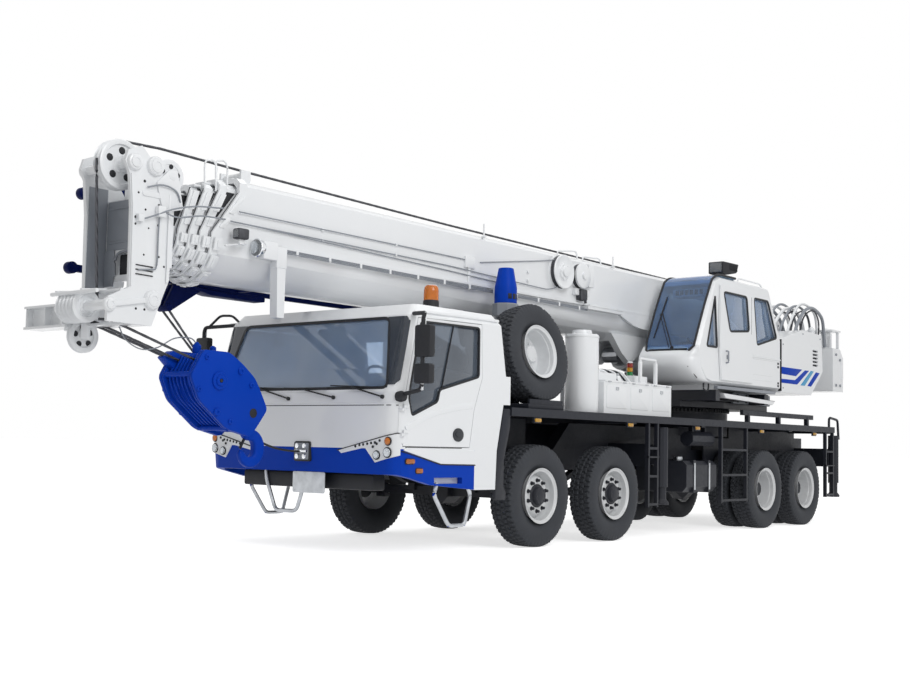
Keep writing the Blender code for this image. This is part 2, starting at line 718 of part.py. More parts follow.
def grown(outline, amount):
    """Move each corner of an outline out along its two edges' normals."""
    result = []
    count = len(outline)
    area = sum(outline[k][0] * outline[(k + 1) % count][1] - outline[(k + 1) % count][0] * outline[k][1]
               for k in range(count))
    sign = 1 if area > 0 else -1
    for k in range(count):
        before = Vector(outline[k]) - Vector(outline[k - 1])
        after = Vector(outline[(k + 1) % count]) - Vector(outline[k])
        n1 = Vector((before.y, -before.x)).normalized() * sign
        n2 = Vector((after.y, -after.x)).normalized() * sign
        middle = (n1 + n2) / (1 + n1.dot(n2))
        result.append((outline[k][0] + middle.x * amount, outline[k][1] + middle.y * amount))
    return result


def front_cab(carrier):
    """A hollow shell lofted through plan outlines, with its glass and door openings cut."""
    shell = loft([cab_ring(*row) for row in CAB_SECTIONS])
    rows = [list(row) for row in CAB_SECTIONS]
    rows[0][0] += CAB_WALL
    rows[-1][0] -= CAB_WALL
    room = loft([cab_ring(*row, inset=CAB_WALL) for row in rows])
    ledge = []
    for _, s in sides():
        y0, y1 = sorted((s * 1.10, s * SIDE_PLANE))
        ledge.append(box(0.60, 0.74, y0, y1, 1.53, 1.83))
    skirt = []
    for _, s in sides():
        y0, y1 = sorted((s * (SIDE_PLANE - 0.04), s * SIDE_PLANE))
        outline = [(SKIRT_X, CAB_FLOOR + 0.03), (0.82, CAB_FLOOR + 0.03), (0.837, 0.642), (SKIRT_X, 0.642)]
        skirt.append(prism_y(outline, y0, y1))
    cab = fuse(shell, *ledge, *skirt)
    cut(cab, room)
    reach = SIDE_PLANE + 0.2
    opening = grown(DOOR_OUTLINE, RUN)
    cut(cab, prism_y(opening, 1.0, reach), prism_y(opening, -reach, -1.0))
    half_low, z_low = WINDSCREEN[0]
    half_high, z_high = WINDSCREEN[1]
    glass_hole = prism_x([(-half_low, z_low), (half_low, z_low), (half_high, z_high), (-half_high, z_high)],
                         1.9, 2.6)
    cut(cab, glass_hole, box(0.3, 1.0, -0.6, 0.6, 1.9, 2.25))
    posts = []
    for _, s in sides():
        for z in (1.20, 1.44):
            y = s * (SIDE_PLANE + HINGE_RADIUS)
            posts.append(rod((DOOR_HINGE_X, y, z - 0.03), (DOOR_HINGE_X, y, z), HINGE_RADIUS, 6))
            y0, y1 = sorted((s * (SIDE_PLANE - 0.06), y))
            posts.append(box(DOOR_HINGE_X, DOOR_HINGE_X + 0.03, y0, y1, z - 0.03, z))
    beacon = turned([(0.0, 2.44), (0.075, 2.44), (0.075, 2.60), (0.06, 2.76), (0.0, 2.76)], 8)
    fuse(cab, *posts, *mirrors(), moved(beacon, 1.37, 0.90))
    publish(cab, "cab_shell", "white", carrier)
    half_low -= TOUCH
    pane = loft([[(x, -half_low, z_low + TOUCH), (x, half_low, z_low + TOUCH), (x, half_high, z_high - TOUCH),
                  (x, -half_high, z_high - TOUCH)] for x in (1.9, 2.6)])
    skin = loft([cab_ring(*row, inset=0.012) for row in CAB_SECTIONS[1:]])
    core = loft([cab_ring(*row, inset=0.030) for row in CAB_SECTIONS[1:]])
    glass = keep(pane, skin)
    cut(glass, core)
    publish(glass, "windscreen", "glass", carrier)
    for side_name, s in sides():
        cab_door(side_name, s, carrier)


def cab_door(side_name, s, carrier):
    """A flat door with its window cut, hung on two hinges at its front edge."""
    y0, y1 = sorted((s * (SIDE_PLANE - DOOR_THICK), s * SIDE_PLANE))
    panel = prism_y(list(DOOR_OUTLINE), y0, y1)
    cut(panel, prism_y(list(DOOR_WINDOW), y0 - 0.1, y1 + 0.1))
    skin = loft([cab_ring(*row) for row in CAB_SECTIONS])
    panel = keep(panel, skin)
    knuckles = []
    axis_y = s * (SIDE_PLANE + HINGE_RADIUS)
    for z in (1.20, 1.44):
        knuckles.append(rod((DOOR_HINGE_X, axis_y, z + TOUCH), (DOOR_HINGE_X, axis_y, z + 0.03),
                            HINGE_RADIUS, 6))
        leaf0, leaf1 = sorted((s * (SIDE_PLANE - 0.004), axis_y))
        knuckles.append(box(DOOR_HINGE_X - 0.05, DOOR_HINGE_X, leaf0, leaf1, z + TOUCH, z + 0.03))
        root0, root1 = sorted((s * (SIDE_PLANE - 0.03), axis_y))
        knuckles.append(box(DOOR_HINGE_X - 0.07, DOOR_HINGE_X - 0.03, root0, root1, z + TOUCH, z + 0.03))
    fuse(panel, *knuckles)
    pivot = (DOOR_HINGE_X, axis_y, 1.3)
    hinge = holder(f"door_{side_name}_hinge", pivot, carrier)
    publish(panel, f"cab_door_{side_name}", "white", hinge, pivot)


def cab_bumper(carrier):
    """The blue band round the front, swept up over the steps, with a step slot each side."""
    top = CAB_FLOOR - TOUCH
    rear = SKIRT_X + TOUCH
    outer = loft([cab_ring(z, front, rear, SIDE_PLANE, 0.16) for z, front in ((0.60, 2.335), (top, 2.388))])
    inner = loft([cab_ring(z, front, 0.9, SIDE_PLANE, 0.16, inset=0.06)
                  for z, front in ((0.50, 2.323), (top + 0.1, 2.40))])
    below = prism_y([(2.6, 0.5), (2.6, 0.80), (2.322, 0.80), (1.88, 0.701), (1.188, 0.645), (1.0, 0.645),
                     (1.0, 0.5)], -1.6, 1.6)
    bumper = cut(outer, inner, below)
    slot = box(1.385, 1.82, -1.6, 1.6, 0.71, 0.77)
    cut(bumper, slot)
    brackets = []
    for _, s in sides():
        y0, y1 = sorted((s * (FRAME_HALF_WIDTH - RAIL_WIDTH), s * FRAME_HALF_WIDTH))
        brackets.append(box(FRAME_FRONT_X + TOUCH, 2.35, y0, y1, 0.86, 1.0))
    loops = []
    for _, s in sides():
        y = s * (SIDE_PLANE - 0.03)
        loops.append(bent_bar([(1.25, y, 0.66), (1.21, y, 0.60), (1.30, y, 0.29), (1.55, y, 0.29),
                               (1.785, y, 0.60),
                               (1.745, y, 0.72)], 0.014, 4))
    front = FRAME_FRONT_X + 0.03
    loops.append(bent_bar([(front, -0.63, 0.95), (front, -0.63, 0.62), (front, -0.58, 0.37),
                           (front, -0.16, 0.37),
                           (front, -0.11, 0.62), (front, -0.11, 0.95)], 0.014, 4))
    feet = box(front - 0.02, 2.35, -0.68, 0.68, 0.93, 0.97)
    fuse(bumper, *brackets, feet, *loops)
    publish(bumper, "cab_bumper", "blue", carrier)


def cab_interior(carrier):
    """A floor mat that carries two seats, a dashboard and the steering wheel."""
    floor = CAB_FLOOR + CAB_WALL + TOUCH
    mat = box(1.0, 2.25, -1.2, 1.2, floor, floor + 0.03)
    parts = []
    for y in (0.72, -0.72):
        parts.append(box(1.15, 1.62, y - 0.25, y + 0.25, floor + 0.02, floor + 0.42))
        back = prism_y([(1.22, floor + 0.4), (1.05, floor + 1.0), (0.95, floor + 1.0), (1.10, floor + 0.4)],
                       y - 0.24, y + 0.24)
        parts.append(back)
    dash = prism_y([(2.26, floor + 0.02), (2.27, floor + 0.50), (2.02, floor + 0.48), (2.10, floor + 0.02)],
                   -1.15, 1.15)
    column = rod((2.10, 0.72, floor + 0.40), (1.86, 0.72, floor + 0.62), 0.03, 6)
    ring = turned([(0.20, -0.012), (0.225, -0.012), (0.225, 0.012), (0.20, 0.012)], 8)
    spokes = box(-0.21, 0.21, -0.02, 0.02, -0.008, 0.008)
    wheel = fuse(ring, spokes)
    wheel.data.transform(Matrix.Translation((1.86, 0.72, floor + 0.62)) @ Matrix.Rotation(math.radians(-47),
                                                                                          4, "Y"))
    publish(fuse(mat, *parts, dash, column, wheel), "cab_interior", "trim", carrier)


def carrier_fittings(carrier):
    """Engine block, tanks, exhaust, spare wheel, boom rest and boxes on the deck."""
    feet_z = FRAME_FRONT_TOP + TOUCH
    engine = box(-1.10, 0.30, -0.34, 0.34, 0.74, 1.44)
    mounts = [box(x - 0.06, x + 0.06, -0.50, 0.50, feet_z, feet_z + 0.08) for x in (0.15, -0.95)]
    publish(fuse(engine, *mounts), "engine_block", "steel", carrier)

    tank = prism_x([(0.60, 0.62), (0.68, 0.55), (1.30, 0.55), (1.36, 0.62), (1.36, 0.90), (1.30, 0.957),
                    (0.68, 0.957),
                    (0.60, 0.90)], -4.07, -3.25)
    straps = []
    for x in (-3.86, -3.46):
        straps.append(box(x - 0.03, x + 0.03, FRAME_HALF_WIDTH + TOUCH, 1.365, 0.54, 0.967))
    publish(fuse(tank, *straps), "fuel_tank", "frame", carrier)

    mast = box(0.08, 0.50, -0.58, 0.58, DECK_TOP + TOUCH, 2.42)
    window = box(-0.1, 0.8, -0.34, 0.34, 1.75, 2.30)
    cradle = prism_x([(-0.36, 2.40), (0.36, 2.40), (0.36, 2.64), (0.31, 2.64), (0.26, 2.58), (-0.26, 2.58),
                      (-0.31, 2.64), (-0.36, 2.64)], 0.16, 0.40)
    belly = prism_x(boom_outline(-TOUCH - 0.004), -0.2, 0.8)
    publish(cut(fuse(mast, cradle), window, belly), "boom_rest", "trim", carrier)

    foot = DECK_TOP + TOUCH
    stack = turned([(0.0, foot), (0.13, foot), (0.13, 2.58), (EXHAUST_RADIUS, 2.60), (EXHAUST_RADIUS, 2.74),
                    (0.128, 2.745), (0.128, 2.96), (0.09, 3.16), (0.0, 3.16)], 10)
    moved(stack, -0.27, EXHAUST_Y)
    publish(stack, "exhaust_stack", "blue", carrier)

    oil = turned([(0.0, 0.0), (0.20, 0.0), (0.20, 0.93), (0.12, 0.94), (0.12, 0.98), (0.0, 0.98)], 12)
    moved(oil, -1.17, DECK_HALF_WIDTH - 0.28, foot)
    publish(oil, "hydraulic_tank", "white", carrier)

    chest_y = DECK_HALF_WIDTH - 0.76
    chest = box(-3.02, -1.42, chest_y, DECK_HALF_WIDTH - 0.12, foot, 1.90)
    shelf = box(-1.95, -1.55, chest_y + 0.04, DECK_HALF_WIDTH - 0.28, 1.88, 2.02)
    publish(fuse(chest, shelf), "deck_toolbox", "white", carrier)

    spare_y = EXHAUST_Y + EXHAUST_RADIUS + SPARE_GAP
    middle = Vector((SPARE_X, spare_y, SPARE_SHELF_TOP + TYRE_RADIUS + 0.009))
    spare = turned(single_wheel(with_hub=False), WHEEL_STEPS)
    moved(spare, turn=(-math.pi / 2 + SPARE_LEAN, "X"))
    moved(spare, *middle)
    post_y = middle.y - 0.26
    shelf = box(SPARE_X - 0.34, SPARE_X + 0.34, post_y, middle.y + 0.24, foot, SPARE_SHELF_TOP)
    axis = Vector((0.0, math.cos(SPARE_LEAN), math.sin(SPARE_LEAN)))
    arm = rod(middle - axis * 0.25, middle + axis * 0.09, HUB_BORE + 0.02, 8)
    post = box(SPARE_X - 0.08, SPARE_X + 0.08, post_y, post_y + 0.06, SPARE_SHELF_TOP - 0.02, middle.z + 0.06)
    publish(fuse(spare, arm, post, shelf), "spare_wheel", "rubber", carrier)


def mirrors():
    """The bowed arm and two mirror heads that stand off each front pillar."""
    parts = []
    for _, s in sides():
        points = [(2.12, s * 1.33, 2.37), (MIRROR_X, s * 1.62, 2.34), (MIRROR_X + 0.02, s * 1.62, 1.62),
                  (2.31, s * 1.33, 1.56)]
        parts.append(bent_bar(points, 0.016, 4))
        for bottom, top in ((1.93, 2.22), (1.68, 1.85)):
            y0, y1 = s * MIRROR_Y - 0.09, s * MIRROR_Y + 0.09
            parts.append(box(MIRROR_X - 0.025, MIRROR_X + 0.035, y0, y1, bottom, top))
    return parts


def boom_outline(grow):
    """A flat top with cut corners, upright sides and a round belly, as (y, z) points."""
    half = BOOM_HALF_WIDTH - grow
    top = BOOM_TOP - grow
    depth = BOOM_LIP - BOOM_BOTTOM - grow
    points = [(-half, top - BOOM_CHAMFER), (-half + BOOM_CHAMFER, top), (half - BOOM_CHAMFER, top),
              (half, top - BOOM_CHAMFER)]
    for k in range(BELLY_STEPS + 1):
        angle = math.pi * k / BELLY_STEPS
        points.append((half * math.cos(angle), BOOM_LIP - depth * math.sin(angle)))
    return points


def front_edge(top_x, belly_x, back=0.0):
    """The raked front edge of a section, as the (x, z) outline of all that lies ahead of it."""
    far = top_x + 4.0
    return [(top_x - back, 5.0), (top_x - back, BOOM_TOP - 0.13), (belly_x - back, BOOM_LIP),
            (belly_x - back, 1.0), (far, 1.0), (far, 5.0)]


def boom_section(index, boom_parent):
    """One hollow section with the thicker collar at its raked front edge."""
    name, top_x, belly_x, rear_x = SECTIONS[index]
    grow = BOOM_STEP * index
    tube = prism_x(boom_outline(grow), rear_x, belly_x)
    if index < len(SECTIONS) - 1:
        collar = prism_x(boom_outline(grow - COLLAR_PROUD), top_x - 0.3, belly_x)
        behind = prism_y([(top_x - 1.0, 5.0)] + front_edge(top_x, belly_x,
                                                           COLLAR_LENGTH)[:4] + [(top_x - 1.0, 1.0)],
                         -1.0, 1.0)
        cut(collar, behind)
        fuse(tube, collar)
        cut(tube, prism_y(front_edge(top_x, belly_x), -1.0, 1.0))
    bore = prism_x(boom_outline(grow + BOOM_WALL), rear_x - 0.1, belly_x + 0.5)
    cut(tube, bore)
    if index < len(SECTIONS) - 1:
        gap = BOOM_STEP - BOOM_WALL
        half = BOOM_HALF_WIDTH - grow - BOOM_WALL
        pads = []
        for s in (1, -1):
            y0, y1 = sorted((s * (half - gap + TOUCH), s * (half + 0.01)))
            pads.append(box(top_x - 0.30, top_x - 0.10, y0, y1, BOOM_LIP + 0.02, BOOM_LIP + 0.24))
        fuse(tube, *pads)
    return tube, name


def boom(superstructure):
    pivot = (BOOM_PIVOT_X, 0.0, BOOM_PIVOT_Z)
    lift = holder("boom_lift", pivot, superstructure)
    base, name = boom_section(0, lift)
    feet = []
    for s in (1, -1):
        y0, y1 = sorted((s * (BOOM_HALF_WIDTH - 0.015), s * (CHEEK_Y - TOUCH)))
        outline = [(BOOM_PIVOT_X + 0.5, 2.75), (BOOM_PIVOT_X, BOOM_PIVOT_Z - PIVOT_BOSS),
                   (BOOM_PIVOT_X - 0.13, BOOM_PIVOT_Z - 0.09), (BOOM_PIVOT_X - 0.16, BOOM_PIVOT_Z),
                   (BOOM_PIVOT_X - 0.13, BOOM_PIVOT_Z + 0.09), (BOOM_PIVOT_X, BOOM_PIVOT_Z + PIVOT_BOSS),
                   (BOOM_PIVOT_X + 0.5, 3.40)]
        feet.append(prism_y(outline, y0, y1))
    bracket = prism_y([(-4.1, 2.66), (-3.82, 2.40), (-3.60, 2.27), (-3.38, 2.40), (-3.1, 2.66)], -0.28, 0.28)
    fork = box(-4.2, -3.0, -0.18, 0.18, 2.0, 2.565)
    cut(bracket, fork)
    collar_leg = prism_y([(3.02, 2.96), (3.14, 2.96), (3.12, 2.28), (3.03, 2.28)], BOOM_HALF_WIDTH - 0.04,
                         BOOM_HALF_WIDTH + 0.06)
    side_plates = []
    for s in (1, -1):
        y0, y1 = sorted((s * (BOOM_HALF_WIDTH - 0.02), s * (BOOM_HALF_WIDTH + 0.02)))
        side_plates.append(prism_y(list(SIDE_PLATE), y0, y1))
    fuse(base, *feet, bracket, collar_leg, *side_plates, *boom_fittings())
    pin_hole = rod((BOOM_PIVOT_X, -0.6, BOOM_PIVOT_Z), (BOOM_PIVOT_X, 0.6, BOOM_PIVOT_Z), PIVOT_PIN, 12)
    cut(base, prism_x(boom_outline(BOOM_WALL), BOOM_REAR_X - 0.1, 5.0), pin_hole)
    pads = []
    for s in (1, -1):
        y0, y1 = sorted((s * (BOOM_HALF_WIDTH - BOOM_STEP + TOUCH), s * (BOOM_HALF_WIDTH - BOOM_WALL + 0.01)))
        pads.append(box(3.30, 3.50, y0, y1, BOOM_LIP + 0.02, BOOM_LIP + 0.24))
    fuse(base, *pads)
    publish(base, name, "white", lift, pivot)
    parent = lift
    for index in range(1, len(SECTIONS) - 1):
        section, name = boom_section(index, lift)
        place = (SECTIONS[index][1], 0.0, BOOM_LIP)
        slide = holder(f"slide_{index}", place, parent)
        publish(section, name, "white", slide, place)
        parent = slide
    tip, name = boom_section(len(SECTIONS) - 1, lift)
    place = (SECTIONS[-1][1], 0.0, BOOM_LIP)
    slide = holder("slide_tip", place, parent)
    fuse(tip, *boom_head())
    publish(tip, name, "white", slide, place)
    sheaves(slide, place)
    hook_block(slide, place)
    stowed_jib(lift, pivot)


# Side plate of the base section, as (x, z): a narrow lip that steps down to a deep plate behind
SIDE_PLATE = ((3.40, 2.965), (3.40, 2.94), (-2.95, 2.94), (-3.15, 2.88), (-3.45, 2.78), (-3.70, 2.75),
              (-6.40, 2.75), (-6.40, 2.965))

# Cable reels on the left side of the base section: x, z, radius, number of sides
REELS = (
    (-1.675, 3.305, 0.205, 12),
    (-2.090, 3.300, 0.150, 10),
)


def boom_fittings():
    """The cable reels and their shelf on the left side, and the rope's roller on the top."""
    side = BOOM_HALF_WIDTH - 0.01
    reels = [rod((x, side, z), (x, side + 0.085, z), radius, steps) for x, z, radius, steps in REELS]
    shelf = box(-3.07, -2.22, side - 0.02, side + 0.10, 2.89, 2.93)
    roller_z = BOOM_TOP + 0.11
    roller = rod((ROLLER_X, -0.15, roller_z), (ROLLER_X, 0.15, roller_z), 0.045, 8)
    ears = [box(ROLLER_X - 0.06, ROLLER_X + 0.06, s * 0.15 - 0.012, s * 0.15 + 0.012, BOOM_TOP - 0.01,
                roller_z + 0.06) for s in (1, -1)]
    lamp = box(3.15, 3.32, side - 0.02, BOOM_HALF_WIDTH + 0.085, 2.83, 2.99)
    return reels + [shelf, roller, lamp] + ears


# Head side plate, as (x, z) seen from the left
HEAD_OUTLINE = ((4.78, 3.40), (4.75, 3.10), (4.74, 2.40), (4.95, 2.30), (4.95, 2.09), (4.49, 2.08),
                (4.32, 2.50),
                (4.31, 2.78), (4.31, 3.27), (4.45, 3.46), (4.66, 3.66), (4.80, 3.60), (4.83, 3.50))


def boom_head():
    """Two cheek plates joined by the recessed front wall, a floor plate and cross tubes."""
    parts = []
    for s in (1, -1):
        y0, y1 = sorted((s * HEAD_Y, s * (HEAD_Y - HEAD_PLATE)))
        parts.append(prism_y(list(HEAD_OUTLINE), y0, y1))
    reach = HEAD_Y - HEAD_PLATE / 2
    wall = box(4.50, 4.53, -reach, reach, 2.50, 3.25)
    opening = box(4.4, 4.6, -0.16, 0.16, 2.56, 2.76)
    cut(wall, opening)
    web = box(4.28, 4.34, -reach, reach, 2.62, 3.40)
    floor = box(4.52, 4.78, -reach, reach, HEAD_FLOOR, HEAD_FLOOR + 0.02)
    shafts = []
    for x, z in (TOP_SHEAVE, LOW_SHEAVE):
        shafts.append(rod((x, -HEAD_Y - 0.03, z), (x, HEAD_Y + 0.03, z),
                          pin_radius(SHEAVE_BORE, SHEAVE_STEPS), 8))
    for x, z in ((4.52, 3.50), (4.50, 2.31)):
        for _, s in sides():
            shafts.append(rod((x, s * (HEAD_Y - 0.01), z), (x, s * (HEAD_Y + 0.04), z), 0.075, 8))
    arm_y = -1.02
    beam = [(4.70, 2.072), (4.90, 2.072), (4.90, 2.095), (4.812, 2.095), (4.812, 2.265), (4.90, 2.265),
            (4.90, 2.285),
            (4.70, 2.285), (4.70, 2.265), (4.788, 2.265), (4.788, 2.095), (4.70, 2.095)]
    arm = [prism_y(beam, arm_y, -HEAD_Y + 0.01),
           rod((4.80, -HEAD_Y - 0.07, 2.06), (4.80, -HEAD_Y - 0.07, 2.31), 0.045, 8)]
    guide = rod((GUIDE_SHEAVE[0], HEAD_Y - 0.085, GUIDE_SHEAVE[1]),
                (GUIDE_SHEAVE[0], HEAD_Y - HEAD_PLATE + 0.005, GUIDE_SHEAVE[1]), GUIDE_RADIUS, 12)
    return parts + [wall, web, floor, guide] + shafts + arm


def sheave_stack(x, z, count, radius, bore, middle=0.0):
    """Grooved wheels side by side on one shaft, as one turned solid."""
    half = count * SHEAVE_PITCH / 2
    profile = [(bore, -half)]
    for k in range(count):
        y = -half + k * SHEAVE_PITCH
        profile += [(radius, y), (radius - 0.03, y + SHEAVE_PITCH / 2)]
    profile += [(radius, half), (bore, half)]
    stack = turned(profile, SHEAVE_STEPS, 0.0)
    return moved(stack, x, middle, z, (math.pi / 2, "X"))


def sheaves(slide, place):
    top = sheave_stack(TOP_SHEAVE[0], TOP_SHEAVE[1], 2, SHEAVE_RADIUS, SHEAVE_BORE, 0.12)
    publish(top, "head_sheaves_top", "steel", slide, place)
    low = sheave_stack(LOW_SHEAVE[0], LOW_SHEAVE[1], 5, LOW_SHEAVE_RADIUS, SHEAVE_BORE, -0.10)
    publish(low, "head_sheaves_bottom", "steel", slide, place)


# Hook block cheek plate, as (x, z) in the tie-down position
HOOK_OUTLINE = ((3.80, 1.93), (3.50, 1.925), (3.33, 1.82), (3.18, 1.70), (3.115, 1.60), (3.005, 1.40),
                (3.08, 1.30),
                (3.21, 1.13), (3.51, 1.20), (3.845, 1.46), (3.95, 1.68), (3.826, 1.90))
HOOK_HALF = 0.25
HOOK_EYE = (3.02, 1.02)
HOOK_REACH = (0.110, 0.135)
HOOK_BAR = 0.052


def hook_block(slide, place):
    """Two cheek plates round five sheaves, the hook below and the ropes up to the head."""
    cheeks = []
    for s in (1, -1):
        y0, y1 = sorted((s * HOOK_HALF, s * (HOOK_HALF - 0.05)))
        cheeks.append(prism_y(list(HOOK_OUTLINE), y0, y1))
    core = prism_y([(3.78, 1.86), (3.50, 1.86), (3.34, 1.76), (3.20, 1.62), (3.10, 1.40), (3.22, 1.22),
                    (3.50, 1.27),
                    (3.78, 1.50), (3.88, 1.68)], -HOOK_HALF + 0.02, HOOK_HALF - 0.02)
    lug = prism_y([(3.98, 1.86), (3.86, 1.93), (3.70, 1.80), (3.78, 1.68)], -0.24, -0.12)
    hook_points = []
    for k in range(8):
        angle = math.radians(75 + k * 40)
        hook_points.append((HOOK_EYE[0] + HOOK_REACH[0] * math.cos(angle), 0.0,
                            HOOK_EYE[1] + HOOK_REACH[1] * math.sin(angle)))
    hook = bent_bar(hook_points, HOOK_BAR, 6)
    shank = rod((3.20, 0.0, 1.30), hook_points[0], HOOK_BAR, 8)
    falls = []
    for y in (-0.17, 0.17):
        falls.append(rod((3.70, y, 1.80), (4.76, y, HEAD_FLOOR + 0.03), ROPE_RADIUS, 6))
    block = fuse(cheeks[0], cheeks[1], core, lug, shank, hook, *falls)
    cut(block, box(4.2, 5.2, -1.0, 1.0, HEAD_FLOOR - TOUCH, 2.6))
    publish(block, "hook_block", "blue", slide, place)


JIB_BAYS = 4


def stowed_jib(lift, pivot):
    """A lattice jib on the right side of the base section, its two pin lugs ahead."""
    y_in, y_out = -BOOM_HALF_WIDTH - 0.06, -0.98
    bars = []
    rear = -3.2
    for y in (y_in - 0.03, y_out):
        for front, z in ((4.34, 3.43), (4.44, 2.70)):
            bars.append(box(rear, front, y, y + 0.05, z - 0.035, z + 0.035))
    for k in range(JIB_BAYS + 1):
        x = rear + 0.05 + k * (4.2 - rear) / JIB_BAYS
        for y in (y_in - 0.03, y_out):
            bars.append(box(x, x + 0.04, y, y + 0.05, 2.70, 3.43))
        for z in (2.70, 3.43):
            bars.append(box(x, x + 0.04, y_out + 0.02, y_in - 0.01, z - 0.02, z + 0.02))
    jib = fuse(bars[0], *bars[1:])
    seats = []
    for x in (-2.6, 2.9):
        seats.append(box(x - 0.06, x + 0.06, y_in - 0.02, -BOOM_HALF_WIDTH - 0.02 - TOUCH, 2.66, 2.99))
    publish(fuse(jib, *seats), "stowed_jib", "blue", lift, pivot)


def lift_cylinder(superstructure):
    """Barrel on the turntable's foot pin, and the rod that ends at the boom's pin."""
    foot = Vector((CYL_FOOT[0], 0.0, CYL_FOOT[1]))
    head = Vector((CYL_HEAD[0], 0.0, CYL_HEAD[1]))
    along = (head - foot).normalized()
    swing = holder("cylinder_swing", foot, superstructure)
    start = foot + along * 0.16
    barrel = rod(start, foot + along * CYL_BARREL_LENGTH, CYL_RADIUS, 12)
    eye = rod(foot + Vector((0, -0.12, 0)), foot + Vector((0, 0.12, 0)), 0.11, 12)
    neck = rod(foot, start + along * 0.05, 0.09, 8)
    bore = rod(foot + along * 0.26, foot + along * (CYL_BARREL_LENGTH + 0.1), CYL_ROD + 0.002, 12)
    hole = rod(foot + Vector((0, -0.2, 0)), foot + Vector((0, 0.2, 0)), PIVOT_PIN, 12)
    publish(cut(fuse(barrel, eye, neck), bore, hole), "lift_cylinder_barrel", "white", swing, foot)
    slide = holder("cylinder_rod_slide", head, swing)
    stem = rod(foot + along * 0.28, head - along * 0.05, CYL_ROD + 0.002 - 1.1 * TOUCH, 12)
    rod_eye = rod(head + Vector((0, -0.12, 0)), head + Vector((0, 0.12, 0)), 0.11, 12)
    publish(fuse(stem, rod_eye), "lift_cylinder_rod", "steel", slide, head)


# Cheek plate of the turntable, as (x, z)
CHEEK_OUTLINE = ((-4.35, 1.78), (-4.35, 1.98), (-5.35, 2.10), (-5.95, 2.42), (-6.45, 3.12), (-6.70, 3.26),
                 (-7.05, 3.26), (-7.30, 3.00), (-8.05, 2.72), (CHEEK_REAR_X, 2.40), (CHEEK_REAR_X, 2.06),
                 (-6.95, 2.02), (-6.45, 1.78))
WINCH = (-7.82, 3.02)

# Air slots in the rear housings
LOUVRE_X = (-7.42, -7.23)
LOUVRE_BOTTOM = 2.44
LOUVRE_PITCH = 0.055
LOUVRE_ROWS = 5


def superstructure_frame(superstructure):
    """The turntable plate on its ring, the two cheeks, foot pins and the cab's carrying arms."""
    place = (SLEW_X, 0.0, RING_BASE_TOP)
    ring = rod((SLEW_X, 0.0, RING_BASE_TOP + TOUCH), (SLEW_X, 0.0, TURNTABLE_BOTTOM + 0.03), RING_RADIUS,
               RING_STEPS)
    plate = prism_z([(-4.15, -0.75), (-4.15, 0.75), (-5.0, 0.98), (-6.4, 0.98), (-6.4, -0.98), (-5.0, -0.98)],
                    TURNTABLE_BOTTOM, TURNTABLE_BOTTOM + TURNTABLE_PLATE)
    cheeks = []
    for s in (1, -1):
        y0, y1 = sorted((s * CHEEK_Y, s * (CHEEK_Y + CHEEK_THICK)))
        cheeks.append(prism_y(list(CHEEK_OUTLINE), y0, y1))
    cross = [box(-8.2, -7.5, -CHEEK_Y - 0.01, CHEEK_Y + 0.01, 2.05, 2.28)]
    pin_end = CHEEK_Y + CHEEK_THICK - 0.005
    foot_pin = rod((CYL_FOOT[0], -pin_end, CYL_FOOT[1]), (CYL_FOOT[0], pin_end, CYL_FOOT[1]),
                   pin_radius(PIVOT_PIN, 12), 12, 0.0)
    arms = [box(x - 0.06, x + 0.06, 0.40, 1.28, 1.78, 1.93) for x in (-4.25, -5.75)]
    boom_pin = rod((BOOM_PIVOT_X, -pin_end, BOOM_PIVOT_Z), (BOOM_PIVOT_X, pin_end, BOOM_PIVOT_Z),
                   pin_radius(PIVOT_PIN, 12), 12, 0.0)
    frame = fuse(plate, ring, *cheeks, *cross, foot_pin, boom_pin, *arms)
    publish(frame, "turntable", "white", superstructure, place)

    front = CHEEK_REAR_X - TOUCH
    weight = prism_y([(front, 2.10), (REAR_REACH, 2.10), (REAR_REACH, 2.66), (REAR_REACH + 0.12, 2.80),
                      (front, 2.80)], -1.25, 1.25)
    publish(weight, "counterweight", "white", superstructure, place)

    drum = turned([(0.0, -0.42), (0.30, -0.42), (0.30, -0.38), (0.22, -0.38), (0.22, 0.38), (0.30, 0.38),
                   (0.30, 0.42), (0.0, 0.42)], 10)
    moved(drum, WINCH[0], 0.0, WINCH[1], (math.pi / 2, "X"))
    post = box(WINCH[0] - 0.14, WINCH[0] + 0.14, -0.36, 0.36, 2.28 + TOUCH, 2.85)
    publish(fuse(drum, post), "main_winch", "white", superstructure, place)

    for side_name, s in sides():
        y0, y1 = sorted((s * (CHEEK_Y + CHEEK_THICK + TOUCH), s * OP_OUTER_Y))
        side_view = [(-6.095, 1.98), (-6.095, 2.779), (-6.865, 2.97), (-7.559, 2.944), (-7.60, 2.36),
                     (-7.16, 1.98)]
        housing = prism_y(side_view, y0, y1)
        skin0, skin1 = sorted((s * (OP_OUTER_Y - 0.03), s * (OP_OUTER_Y + 0.1)))
        slots = []
        for row in range(LOUVRE_ROWS):
            z = LOUVRE_BOTTOM + row * LOUVRE_PITCH
            slots.append(box(*LOUVRE_X, skin0, skin1, z, z + LOUVRE_PITCH / 2))
        publish(cut(housing, *slots), f"rear_housing_{side_name}", "white", superstructure, place)


